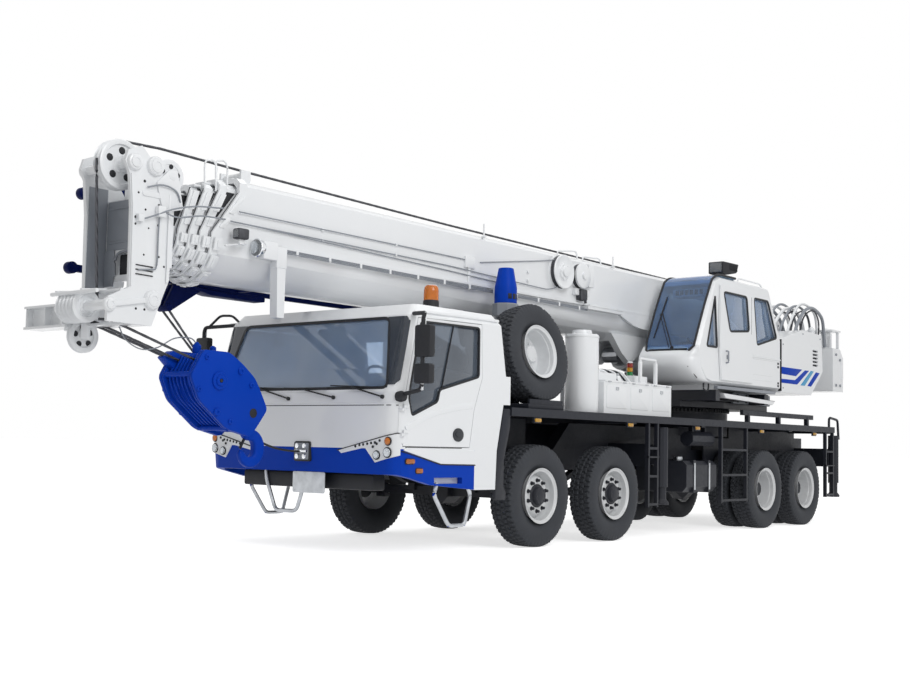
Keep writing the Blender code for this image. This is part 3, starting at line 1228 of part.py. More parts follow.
# Operator's cab seen from the left, as (x, z), and its window outlines
OP_OUTLINE = ((-3.62, 2.03), (-3.44, 2.20), (-3.43, 2.34), (-3.527, 2.46), (-3.78, 3.00), (-4.02, 3.42),
              (-4.20, 3.49),
              (-5.64, 3.49), (-5.70, 3.44), (-6.088, 2.745), (-6.088, OP_BOTTOM), (-3.95, OP_BOTTOM))
OP_DOOR = ((-4.17, 2.06), (-4.10, 2.60), (-4.14, 3.36), (-5.04, 3.36), (-5.10, 2.06))
OP_DOOR_WINDOW = ((-4.40, 2.74), (-4.21, 3.27), (-4.90, 3.27), (-4.98, 2.79))
OP_REAR_WINDOW = ((-5.30, 2.62), (-5.20, 3.29), (-5.66, 3.29), (-5.95, 2.77))
OP_QUARTER = ((-3.80, 2.50), (-4.02, 3.20), (-4.08, 2.50))


# Sections of the operator's cab: distance from its outer side, inset, pull of the pillar, pull of the nose
OP_SECTIONS = (
    (OP_OUTER_Y - OP_INNER_Y, OP_EDGE, 0.0, 0.0),
    (OP_OUTER_Y - OP_INNER_Y - OP_EDGE, 0.0, 0.0, 0.0),
    (0.24, 0.0, 0.0, 0.0),
    (0.07, 0.0, 0.0, 0.06),
    (0.0, OP_EDGE, 0.03, 0.17),
)


def op_ring(depth, inset, pillar, nose):
    """The cab's outline at a distance from its outer side, with its front drawn back there."""
    ring = []
    for x, z in grown(list(OP_OUTLINE), -inset):
        pull = nose if z < OP_WINDSCREEN_BASE and x > OP_NOSE_X else pillar if x > OP_NOSE_X else 0.0
        ring.append((x - pull, OP_OUTER_Y - depth, z))
    return ring


def operator_cab(superstructure):
    place = (SLEW_X, 0.0, RING_BASE_TOP)
    shell = loft([op_ring(*row) for row in OP_SECTIONS])
    room = prism_y(grown(list(OP_OUTLINE), -OP_WALL), OP_INNER_Y + OP_WALL, OP_OUTER_Y - OP_WALL)
    cut(shell, room)
    through = OP_OUTER_Y + 0.2
    near = OP_OUTER_Y - 0.15
    doorway = grown(list(OP_DOOR), -0.05)
    cut(shell, prism_y(doorway, near, through), prism_y(list(OP_REAR_WINDOW), near, through),
        prism_y(list(OP_QUARTER), near, through))
    far_window = prism_y([(-4.2, 2.7), (-4.2, 3.3), (-5.6, 3.3), (-5.8, 2.7)], OP_INNER_Y - 0.1,
                         OP_INNER_Y + 0.1)
    keep_front = prism_y([(-3.40, 2.50), (-3.62, 2.50), (-4.05, 3.36), (-3.80, 3.40)], OP_INNER_Y + 0.06,
                         OP_OUTER_Y - 0.06)
    cut(shell, far_window, keep_front)
    feet = [box(x - 0.06, x + 0.06, 0.60, 1.25, 1.93 + TOUCH, OP_BOTTOM + 0.01) for x in (-4.25, -5.75)]
    rail = box(-6.05, -4.30, OP_OUTER_Y - 0.005, OP_OUTER_Y + 0.012, 2.44, 2.46)
    lamp = prism_y([(-4.80, 3.63), (-4.80, 3.79), (-5.28, 3.80), (-5.22, 3.68), (-4.97, 3.63)], 0.84, 1.06)
    stem = box(-4.95, -4.91, 0.93, 0.97, 3.46, 3.70)
    fuse(shell, *feet, rail, lamp, stem)
    publish(shell, "operator_cab", "white", superstructure, place)

    pane_outline = [(-3.548, 2.51), (-3.575, 2.51), (-3.83, 3.02), (-4.03, 3.36), (-4.00, 3.36),
                    (-3.80, 3.02)]
    pane = prism_y([(x - 0.008, z) for x, z in pane_outline], OP_INNER_Y + 0.06 + TOUCH,
                   OP_OUTER_Y - 0.06 - TOUCH)
    cut(pane, prism_y([(-3.2, 2.0), (-3.2, 2.50 + TOUCH), (-4.2, 2.50 + TOUCH), (-4.2, 2.0)], 0.0, 2.0))
    publish(pane, "operator_windscreen", "glass", superstructure, place)

    y0 = OP_OUTER_Y + RUN
    y1 = y0 + SLIDE_DOOR_THICK
    door = prism_y(list(OP_DOOR), y0, y1)
    cut(door, prism_y(list(OP_DOOR_WINDOW), y0 - 0.1, y1 + 0.1))
    groove = box(-6.2, -4.0, y0 - 0.1, OP_OUTER_Y + 0.012 + TOUCH, 2.44 - TOUCH, 2.46 + TOUCH)
    cut(door, groove)
    slide = holder("operator_door_slide", (-4.6, y0, 2.45), superstructure)
    publish(door, "operator_cab_door", "white", slide, (-4.6, y0, 2.45))

    seat = box(-5.05, -4.55, 0.72, 1.16, OP_BOTTOM + OP_WALL + TOUCH, 2.45)
    back = prism_y([(-4.95, 2.4), (-5.05, 3.05), (-5.16, 3.05), (-5.10, 2.4)], 0.74, 1.14)
    console = box(-4.62, -4.40, 0.66, 0.76, OP_BOTTOM + OP_WALL + TOUCH, 2.62)
    base = box(-5.0, -4.42, 0.66, 1.0, OP_BOTTOM + OP_WALL + TOUCH, 2.10)
    publish(fuse(seat, back, console, base), "operator_seat", "trim", superstructure, place)


def build():
    clear_scene()
    carrier = holder("carrier", (0.0, 0.0, 0.0))
    main_frame(carrier)
    deck(carrier)
    front_cab(carrier)
    cab_bumper(carrier)
    cab_interior(carrier)
    carrier_fittings(carrier)
    steered_axle(1, AXLE_1, carrier)
    steered_axle(2, AXLE_2, carrier)
    driven_axle(3, AXLE_3, carrier)
    driven_axle(4, AXLE_4, carrier)
    outriggers(carrier)
    superstructure = holder("slewing_part", (SLEW_X, 0.0, RING_BASE_TOP), carrier)
    superstructure_frame(superstructure)
    operator_cab(superstructure)
    lift_cylinder(superstructure)
    boom(superstructure)


build()
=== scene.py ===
"""Looks for a four-axle truck crane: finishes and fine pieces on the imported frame, floor, light, camera."""

import json
import math

import bmesh
import bpy
import numpy as np
from bpy.props import FloatProperty, FloatVectorProperty, IntProperty, PointerProperty
from mathutils import Matrix, Vector

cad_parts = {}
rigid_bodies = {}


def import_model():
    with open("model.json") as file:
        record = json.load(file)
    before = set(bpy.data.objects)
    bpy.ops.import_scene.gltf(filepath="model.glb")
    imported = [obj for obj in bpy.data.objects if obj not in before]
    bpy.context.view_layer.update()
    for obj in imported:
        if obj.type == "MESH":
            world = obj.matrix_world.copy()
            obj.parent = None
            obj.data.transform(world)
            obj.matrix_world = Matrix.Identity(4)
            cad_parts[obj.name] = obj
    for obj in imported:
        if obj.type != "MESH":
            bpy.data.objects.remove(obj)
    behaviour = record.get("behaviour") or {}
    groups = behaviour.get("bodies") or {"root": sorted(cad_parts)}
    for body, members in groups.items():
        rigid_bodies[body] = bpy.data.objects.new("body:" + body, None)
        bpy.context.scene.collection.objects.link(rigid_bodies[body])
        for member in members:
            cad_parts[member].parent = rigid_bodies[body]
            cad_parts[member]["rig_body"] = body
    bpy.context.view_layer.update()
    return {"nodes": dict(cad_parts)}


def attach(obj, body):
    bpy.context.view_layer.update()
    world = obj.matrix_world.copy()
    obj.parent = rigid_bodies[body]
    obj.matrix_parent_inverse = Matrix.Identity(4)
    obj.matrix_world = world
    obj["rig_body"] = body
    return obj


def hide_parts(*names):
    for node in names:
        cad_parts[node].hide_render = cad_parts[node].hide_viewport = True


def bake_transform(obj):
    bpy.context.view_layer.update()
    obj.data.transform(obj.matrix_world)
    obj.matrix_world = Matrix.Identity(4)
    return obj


bl_info = {
    "name": "Truck crane looks",
    "version": (1, 0, 0),
    "blender": (4, 5, 0),
    "location": "3D View > Sidebar > Crane",
    "description": "Builds the fine pieces, finishes, floor, light and camera of a truck crane",
    "category": "Object",
}

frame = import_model()
NODES = frame["nodes"]
AXLE_1 = 1.79
SIDES = (("left", 1), ("right", -1))
# The run over which a rope's strands turn by one radian
ROPE_LAY = 0.12



# Surfaces as arrays of points


def circle(radius, steps=16):
    """Points at equal angles round a circle, as (across, up)."""
    angle = np.linspace(0, 2 * np.pi, steps, endpoint=False)
    return radius * np.stack([np.cos(angle), np.sin(angle)], -1)


def rectangle(a0, b0, a1, b1):
    """The corners of a rectangle, from its lowest to its highest."""
    return [(a0, b0), (a1, b0), (a1, b1), (a0, b1)]


def spread(count, centre, reach, first=0.0):
    """Places at equal angles round a centre, square to Y; the first one's angle is in radians."""
    place = np.tile(np.asarray(centre, float), (count, 1))
    angle = first + 2 * np.pi * np.arange(count) / count
    place[:, 0] += reach * np.cos(angle)
    place[:, 2] += reach * np.sin(angle)
    return place


def rounded(outline, radius, steps=4):
    """Each corner becomes a quadratic curve from edge to edge, with the corner as its control point."""
    corner = np.asarray(outline, float)
    back = np.roll(corner, 1, 0) - corner
    ahead = np.roll(corner, -1, 0) - corner
    long_back = np.linalg.norm(back, axis=1, keepdims=True)
    long_ahead = np.linalg.norm(ahead, axis=1, keepdims=True)
    reach = np.minimum(np.broadcast_to(np.reshape(radius, (-1, 1)), long_back.shape),
                       0.49 * np.minimum(long_back, long_ahead))
    t = np.linspace(0, 1, steps + 1)[None, :, None]
    start = (corner + back / long_back * reach)[:, None]
    end = (corner + ahead / long_ahead * reach)[:, None]
    return ((1 - t) ** 2 * start + 2 * t * (1 - t) * corner[:, None] + t**2 * end).reshape(-1, 2)


def inset(outline, amount):
    """Each corner moves inwards along the two edges' normals, so that every edge shifts by the amount."""
    corner = np.asarray(outline, float)
    ahead = np.roll(corner, -1, 0) - corner
    area = np.sum(corner[:, 0] * np.roll(corner[:, 1], -1) - np.roll(corner[:, 0], -1) * corner[:, 1])
    normal = np.stack([-ahead[:, 1], ahead[:, 0]], -1) * np.sign(area)
    normal /= np.maximum(np.linalg.norm(normal, axis=1, keepdims=True), 1e-9)
    before = np.roll(normal, 1, 0)
    share = np.maximum(1 + np.sum(normal * before, axis=1, keepdims=True), 0.3)
    return corner + (normal + before) / share * amount


def plate(outline, low, high, axis="y", edge=0.006):
    """An outline carried across a thickness, with its rim drawn in by a quarter round at both faces."""
    turn = np.linspace(0, np.pi / 2, 3)
    pull = np.concatenate([edge * (1 - np.sin(turn)), edge * (1 - np.sin(turn[::-1]))])
    depth = np.concatenate([edge * (1 - np.cos(turn)), (high - low) - edge * (1 - np.cos(turn[::-1]))])
    rings = np.stack([inset(outline, p) for p in pull])
    level = np.broadcast_to((low + depth)[:, None], rings.shape[:2])
    order = {"x": (level, rings[..., 0], rings[..., 1]), "y": (rings[..., 0], level, rings[..., 1]),
             "z": (rings[..., 0], rings[..., 1], level)}[axis]
    return np.stack(order, -1)


def block(low, high, edge=0.01, corner=None, axis="z"):
    """A box whose outline has rounded corners and whose rims are drawn in by a quarter round."""
    low, high = np.minimum(low, high), np.maximum(low, high)
    across = [k for k in range(3) if k != "xyz".index(axis)]
    a0, b0 = low[across]
    a1, b1 = high[across]
    outline = rounded(rectangle(a0, b0, a1, b1), edge if corner is None else corner)
    k = "xyz".index(axis)
    return plate(outline, low[k], high[k], axis, edge)


def turned(profile, centre, axis="y", steps=48):
    """A profile of (distance along the axis, radius) turned round that axis."""
    along, radius = np.asarray(profile, float).T
    angle = np.linspace(0, 2 * np.pi, steps, endpoint=False)
    a = np.broadcast_to(along[:, None], (len(along), steps))
    b, c = radius[:, None] * np.cos(angle), radius[:, None] * np.sin(angle)
    order = {"x": (a, b, c), "y": (b, a, c), "z": (b, c, a)}[axis]
    return np.stack(order, -1) + np.asarray(centre, float)


def smooth_path(points, steps):
    """A Catmull-Rom curve through the points: each stretch is a cubic of its four nearest points."""
    p = np.asarray(points, float)
    p = np.vstack([2 * p[:1] - p[1:2], p, 2 * p[-1:] - p[-2:-1]])[:, None]
    p0, p1, p2, p3 = p[:-3], p[1:-2], p[2:-1], p[3:]
    t = np.linspace(0, 1, steps, endpoint=False)[None, :, None]
    curve = 0.5 * (2 * p1 + (p2 - p0) * t + (2 * p0 - 5 * p1 + 4 * p2 - p3) * t**2
                   + (3 * p1 - p0 - 3 * p2 + p3) * t**3)
    return np.vstack([curve.reshape(-1, 3), p2[-1]])


def bent(points, radius=0.05):
    """A path of straight runs whose corners become quadratic arcs of a given reach."""
    p = np.asarray(points, float)
    back, ahead = p[:-2] - p[1:-1], p[2:] - p[1:-1]
    long_back = np.linalg.norm(back, axis=1, keepdims=True)
    long_ahead = np.linalg.norm(ahead, axis=1, keepdims=True)
    reach = np.minimum(radius, 0.49 * np.minimum(long_back, long_ahead))
    t = np.linspace(0, 1, 5)[None, :, None]
    start, end = (p[1:-1] + back / long_back * reach)[:, None], (p[1:-1] + ahead / long_ahead * reach)[:,
                                                                                                       None]
    arcs = (1 - t) ** 2 * start + 2 * t * (1 - t) * p[1:-1][:, None] + t**2 * end
    return np.vstack([p[:1], arcs.reshape(-1, 3), p[-1:]])


def carried(path, profile, scale=None, up=(0, 0, 1), loop=False):
    """A profile of (across, up) points carried along a path, square to it and kept upright."""
    path = np.asarray(path, float)
    if loop:
        ahead = np.roll(path, -1, 0) - np.roll(path, 1, 0)
    else:
        ahead = np.gradient(path, axis=0)
    ahead /= np.maximum(np.linalg.norm(ahead, axis=1, keepdims=True), 1e-9)
    side = np.cross(ahead, up)
    weak = np.linalg.norm(side, axis=1) < 0.15
    side[weak] = np.cross(ahead[weak], (0.3, 1, 0.1))
    side /= np.linalg.norm(side, axis=1, keepdims=True)
    lift = np.cross(side, ahead)
    size = np.ones(len(path)) if scale is None else np.asarray(scale, float)
    profile = np.asarray(profile, float) * np.ones((len(path), 1, 1)) * size[:, None, None]
    return path[:, None] + side[:, None] * profile[..., :1] + lift[:, None] * profile[..., 1:]


def tube(points, radius, steps=10):
    """A round profile carried along the points."""
    return carried(points, circle(radius, steps))


def pipe(points, reach, radius, steps=10):
    """A tube along straight runs with bent corners."""
    return tube(bent(points, reach), radius, steps)


def hose(points, radius):
    """A tube along a smooth curve through the points."""
    return tube(smooth_path(points, 6), radius, 8)


def moved(points, by=(0, 0, 0), turn=0.0, axis="z", about=(0, 0, 0)):
    """Points turned by degrees round an axis through a point, then shifted."""
    a, b = {"x": (1, 2), "y": (2, 0), "z": (0, 1)}[axis]
    c, s = math.cos(math.radians(turn)), math.sin(math.radians(turn))
    p = np.asarray(points, float) - about
    out = p.copy()
    out[..., a], out[..., b] = c * p[..., a] - s * p[..., b], s * p[..., a] + c * p[..., b]
    return out + about + np.asarray(by, float)


def flipped(points):
    """The same points on the other side of the plane Y = 0."""
    return points * np.array([1.0, -1.0, 1.0])


def bar(start, end, width, height=None, edge=0.004, up=(0, 0, 1)):
    """A rectangular section with eased corners carried straight from one point to another."""
    a, b = width / 2, (height or width) / 2
    return carried([start, end], rounded(rectangle(-a, -b, a, b), edge, 2), up=up)


def band(path, width, thick, up):
    """A flat strip carried along a closed path, standing proud of a face whose outward way is given."""
    a = width / 2
    return carried(path, rounded(rectangle(-a, -thick, a, thick), thick * 0.8, 2), up=up, loop=True)


def disc(centre, radius, low, high, axis="y", edge=0.004, steps=28):
    """A round plate with quarter-round rims."""
    k = np.linspace(0, np.pi / 2, 3)
    rim = [(low + edge * (1 - np.cos(a)), radius - edge * (1 - np.sin(a))) for a in k]
    rim += [(high - edge * (1 - np.cos(a)), radius - edge * (1 - np.sin(a))) for a in k[::-1]]
    return turned(rim, centre, axis, steps)


def on_side(outline, y):
    """Points (x, z) placed on a plane of constant Y."""
    outline = np.asarray(outline, float)
    return np.stack([outline[:, 0], np.full(len(outline), float(y)), outline[:, 1]], -1)


def rope(points, radius):
    """Six strands' outline, a circle with six lobes, turned steadily as it runs along the points."""
    path = np.asarray(points, float)
    run = np.concatenate([[0], np.cumsum(np.linalg.norm(np.diff(path, axis=0), axis=1))])
    count = int(np.clip(run[-1] / 0.05, 2, 400))
    even = np.linspace(0, run[-1], count)
    path = np.stack([np.interp(even, run, path[:, k]) for k in range(3)], -1)
    angle = np.linspace(0, 2 * np.pi, 12, endpoint=False)
    size = radius * (0.9 + 0.1 * np.cos(6 * angle))
    twist = even[:, None] / ROPE_LAY
    profile = np.stack([size * np.cos(angle + twist), size * np.sin(angle + twist)], -1)
    return carried(path, profile)


class Form:
    """Closed surfaces in one mesh. Each grid is closed round its columns; its ends are capped or joined."""

    def __init__(self):
        self.points, self.faces, self.count = [], [], 0

    def add(self, *grids, loop=False):
        for grid in grids:
            rows, columns = grid.shape[:2]
            spot = np.arange(rows * columns).reshape(rows, columns)
            spot = np.hstack([spot, spot[:, :1]])
            if loop:
                spot = np.vstack([spot, spot[:1]])
            quads = np.stack([spot[:-1, :-1], spot[:-1, 1:], spot[1:, 1:], spot[1:, :-1]], -1).reshape(-1,
                                                                                                       4)
            caps = [] if loop else [np.arange(columns)[::-1], np.arange(columns) + (rows - 1) * columns]
            flat = grid.reshape(-1, 3)
            middle = flat.mean(0)
            corner = flat[quads] - middle
            first = np.einsum("ij,ij->i", corner[:, 0], np.cross(corner[:, 1], corner[:, 2]))
            second = np.einsum("ij,ij->i", corner[:, 0], np.cross(corner[:, 2], corner[:, 3]))
            volume = (first + second).sum()
            for cap in caps:
                ring = flat[cap] - middle
                hub = ring.mean(0)
                volume += np.einsum("ij,ij->i", np.broadcast_to(hub, ring.shape),
                                    np.cross(ring, np.roll(ring, -1, 0))).sum()
            step = -1 if volume < 0 else 1
            self.faces += (quads[:, ::step] + self.count).tolist() + [(cap[::step] + self.count).tolist()
                                                                      for cap in caps]
            self.points.append(flat)
            self.count += len(flat)
        return self

    def both(self, *grids, loop=False):
        """Adds each surface and its twin on the other side of the vehicle."""
        return self.add(*grids, *[flipped(grid) for grid in grids], loop=loop)

    def make(self, name, body, kind, slot=None, angle=35):
        """The mesh as a piece that rides on a body, shaded smooth up to an angle between its faces."""
        mesh = bpy.data.meshes.new(name)
        mesh.from_pydata((np.concatenate(self.points) + (AXLE_1, 0, 0)).tolist(), [], self.faces)
        return dress(name, mesh, body, kind, slot, angle)


def dress(name, mesh, body, kind, slot=None, angle=35):
    """Puts a mesh into the scene with its finish and body; the slot it works out is not used."""
    mesh.update()
    mesh.materials.clear()
    mesh.materials.append(finishes()[kind])
    mesh.polygons.foreach_set("use_smooth", np.ones(len(mesh.polygons), bool))
    mesh.set_sharp_from_angle(angle=math.radians(angle))
    piece = bpy.data.objects.new(name, mesh)
    bpy.context.scene.collection.objects.link(piece)
    if body:
        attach(piece, body)
    slot = slot or SLOT_OF[kind]
    return piece


def eased(node, kind, width, drop=None):
    """A copy of a CAD solid, points merged, flat faces joined and edges rounded, that stands for it.

    Points that drop picks out are taken off, and the holes that leaves are closed: finer pieces stand there.
    """
    source = NODES[node]
    mesh = bmesh.new()
    mesh.from_mesh(source.data)
    bmesh.ops.remove_doubles(mesh, verts=mesh.verts, dist=1e-5)
    if drop:
        gone = [v for v in mesh.verts if drop(v.co.x - AXLE_1, v.co.y, v.co.z)]
        bmesh.ops.delete(mesh, geom=gone, context="VERTS")
        bmesh.ops.holes_fill(mesh, edges=[e for e in mesh.edges if e.is_boundary], sides=0)
    bmesh.ops.dissolve_limit(mesh, angle_limit=math.radians(0.5), verts=mesh.verts, edges=mesh.edges)
    data = bpy.data.meshes.new(node + "_skin")
    mesh.to_mesh(data)
    mesh.free()
    piece = dress(node + "_skin", data, source["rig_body"], kind, angle=30)
    rim = piece.modifiers.new("rim", "BEVEL")
    rim.width, rim.segments, rim.limit_method = width, 2, "ANGLE"
    rim.angle_limit = math.radians(30)
    rim.use_clamp_overlap, rim.harden_normals = True, True
    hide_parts(node)


# Finishes


def linear(code):
    """An sRGB hex colour as linear light: divided by 12.92 below 0.04045, a power of 2.4 above it."""
    c = np.array([int(code[k:k + 2], 16) for k in (1, 3, 5)]) / 255
    return (*np.where(c <= 0.04045, c / 12.92, ((c + 0.055) / 1.055) ** 2.4).tolist(), 1.0)


def join(tree, node, links):
    """Links a node's inputs to other nodes' outputs."""
    for name, source in links.items():
        tree.links.new(source, node.inputs[name])


def add(tree, kind, settings=None, links=None):
    """Adds a node, sets its properties and input values, and links its inputs to other nodes' outputs."""
    made = tree.nodes.new("ShaderNode" + kind)
    for name, value in (settings or {}).items():
        if isinstance(name, int) or name in made.inputs:
            made.inputs[name].default_value = value
        else:
            setattr(made, name, value)
    join(tree, made, links or {})
    return made


def blank(name, shader):
    """A new material with its shader's constant values, and the place that patterns are read from."""
    finish = bpy.data.materials.new(name)
    finish.use_nodes = True
    tree = finish.node_tree
    for key, value in shader.items():
        tree.nodes["Principled BSDF"].inputs[key].default_value = value
    place = add(tree, "TexCoord").outputs["Object"]
    return finish, tree, tree.nodes["Principled BSDF"], place


def coat_finish(name, colour, shade, roughness, coat, dust="#8d8c86", dust_share=0.0, under=None, split=0.0,
                sheen=0.5):
    """Sprayed enamel: broad cloudy shade, faint orange peel, and road dust that thins out with height.

    Where under is given, everything below the height split has that colour.

    Orange peel is 3 mm across in life and is drawn at 25 mm, so that it shows in the highlights.
    """
    finish, tree, surface, place = blank(name, {"Coat Weight": coat, "Coat Roughness": 0.08,
                                                "IOR": 1.5, "Specular IOR Level": sheen})
    cloud = add(tree, "TexNoise", {"Scale": 1.7, "Detail": 4.0, "Roughness": 0.6}, {"Vector": place})
    tone = add(tree, "MapRange", {"From Min": 0.35, "From Max": 0.7, "To Min": 0.0, "To Max": 0.12},
               {"Value": cloud.outputs["Fac"]})
    paint = add(tree, "Mix", {"data_type": "RGBA", 6: linear(colour), 7: linear(shade)},
                {0: tone.outputs["Result"]})
    speck = add(tree, "TexNoise", {"Scale": 23.0, "Detail": 6.0, "Roughness": 0.7}, {"Vector": place})
    level = add(tree, "SeparateXYZ", {}, {0: place})
    if under:
        above = add(tree, "Math", {"operation": "GREATER_THAN", 1: split}, {0: level.outputs["Z"]})
        paint = add(tree, "Mix", {"data_type": "RGBA", 6: linear(under)},
                    {0: above.outputs[0], 7: paint.outputs[2]})
    low = add(tree, "MapRange", {"From Min": 0.1, "From Max": 1.4, "To Min": dust_share, "To Max": 0.0},
              {"Value": level.outputs["Z"]})
    grime = add(tree, "Math", {"operation": "MULTIPLY"},
                {0: low.outputs["Result"], 1: speck.outputs["Fac"]})
    mixed = add(tree, "Mix", {"data_type": "RGBA", 7: linear(dust)},
                {0: grime.outputs[0], 6: paint.outputs[2]})
    gloss = add(tree, "MapRange",
                {"From Min": 0.3, "From Max": 0.7, "To Min": roughness * 0.85, "To Max": roughness * 1.2},
                {"Value": speck.outputs["Fac"]})
    peel = add(tree, "TexNoise", {"Scale": 40.0, "Detail": 2.0}, {"Vector": place})
    bump = add(tree, "Bump", {"Strength": 0.25, "Distance": 0.001}, {"Height": peel.outputs["Fac"]})
    join(tree, surface, {"Base Color": mixed.outputs[2], "Roughness": gloss.outputs["Result"],
                         "Normal": bump.outputs["Normal"]})
    return finish


def rubber_finish(name, colour="#25272b", shade="#3d4046", roughness=0.72, grain=60.0):
    """Moulded carbon-black rubber: matt, greyer where it has weathered or is dusty, with a fine grain."""
    finish, tree, surface, place = blank(name, {"IOR": 1.52, "Specular IOR Level": 0.35})
    wear = add(tree, "TexNoise", {"Scale": 6.0, "Detail": 6.0, "Roughness": 0.65}, {"Vector": place})
    mixed = add(tree, "Mix", {"data_type": "RGBA", 6: linear(colour), 7: linear(shade)},
                {0: wear.outputs["Fac"]})
    gloss = add(tree, "MapRange", {"To Min": roughness - 0.1, "To Max": roughness + 0.12},
                {"Value": wear.outputs["Fac"]})
    skin = add(tree, "TexNoise", {"Scale": grain, "Detail": 4.0}, {"Vector": place})
    bump = add(tree, "Bump", {"Strength": 0.3, "Distance": 0.002}, {"Height": skin.outputs["Fac"]})
    join(tree, surface, {"Base Color": mixed.outputs[2], "Roughness": gloss.outputs["Result"],
                         "Normal": bump.outputs["Normal"]})
    return finish


def metal_finish(name, colour, shade, roughness=0.35, grain=(8.0, 8.0, 90.0), share=0.5):
    """Bare or zinc-coated steel: fine drawn lines, uneven gloss and darker handling marks."""
    finish, tree, surface, place = blank(name, {"Metallic": 1.0})
    lines = add(tree, "Mapping", {"Scale": grain}, {"Vector": place})
    drawn = add(tree, "TexNoise", {"Scale": 3.0, "Detail": 5.0, "Roughness": 0.6},
                {"Vector": lines.outputs["Vector"]})
    marks = add(tree, "TexNoise", {"Scale": 11.0, "Detail": 5.0}, {"Vector": place})
    tone = add(tree, "MapRange", {"From Min": 0.4, "From Max": 0.75, "To Min": 0.0, "To Max": share},
               {"Value": marks.outputs["Fac"]})
    mixed = add(tree, "Mix", {"data_type": "RGBA", 6: linear(colour), 7: linear(shade)},
                {0: tone.outputs["Result"]})
    gloss = add(tree, "MapRange", {"To Min": roughness - 0.08, "To Max": roughness + 0.15},
                {"Value": drawn.outputs["Fac"]})
    bump = add(tree, "Bump", {"Strength": 0.2, "Distance": 0.001}, {"Height": drawn.outputs["Fac"]})
    join(tree, surface, {"Base Color": mixed.outputs[2], "Roughness": gloss.outputs["Result"],
                         "Normal": bump.outputs["Normal"]})
    return finish


def glass_finish(name, colour, shade, clear=0.85):
    """Float glass, tinted in the melt: sharp reflections with a slow roller wave, a slightly uneven tint."""
    finish, tree, surface, place = blank(name,
                                         {"IOR": 1.52, "Transmission Weight": clear, "Roughness": 0.03})
    wave = add(tree, "TexNoise", {"Scale": 2.2, "Detail": 1.0}, {"Vector": place})
    tone = add(tree, "MapRange", {"From Min": 0.3, "From Max": 0.7}, {"Value": wave.outputs["Fac"]})
    mixed = add(tree, "Mix", {"data_type": "RGBA", 6: linear(colour), 7: linear(shade)},
                {0: tone.outputs["Result"]})
    bump = add(tree, "Bump", {"Strength": 0.08, "Distance": 0.01}, {"Height": wave.outputs["Fac"]})
    join(tree, surface, {"Base Color": mixed.outputs[2], "Normal": bump.outputs["Normal"]})
    return finish


FINISHES = {}


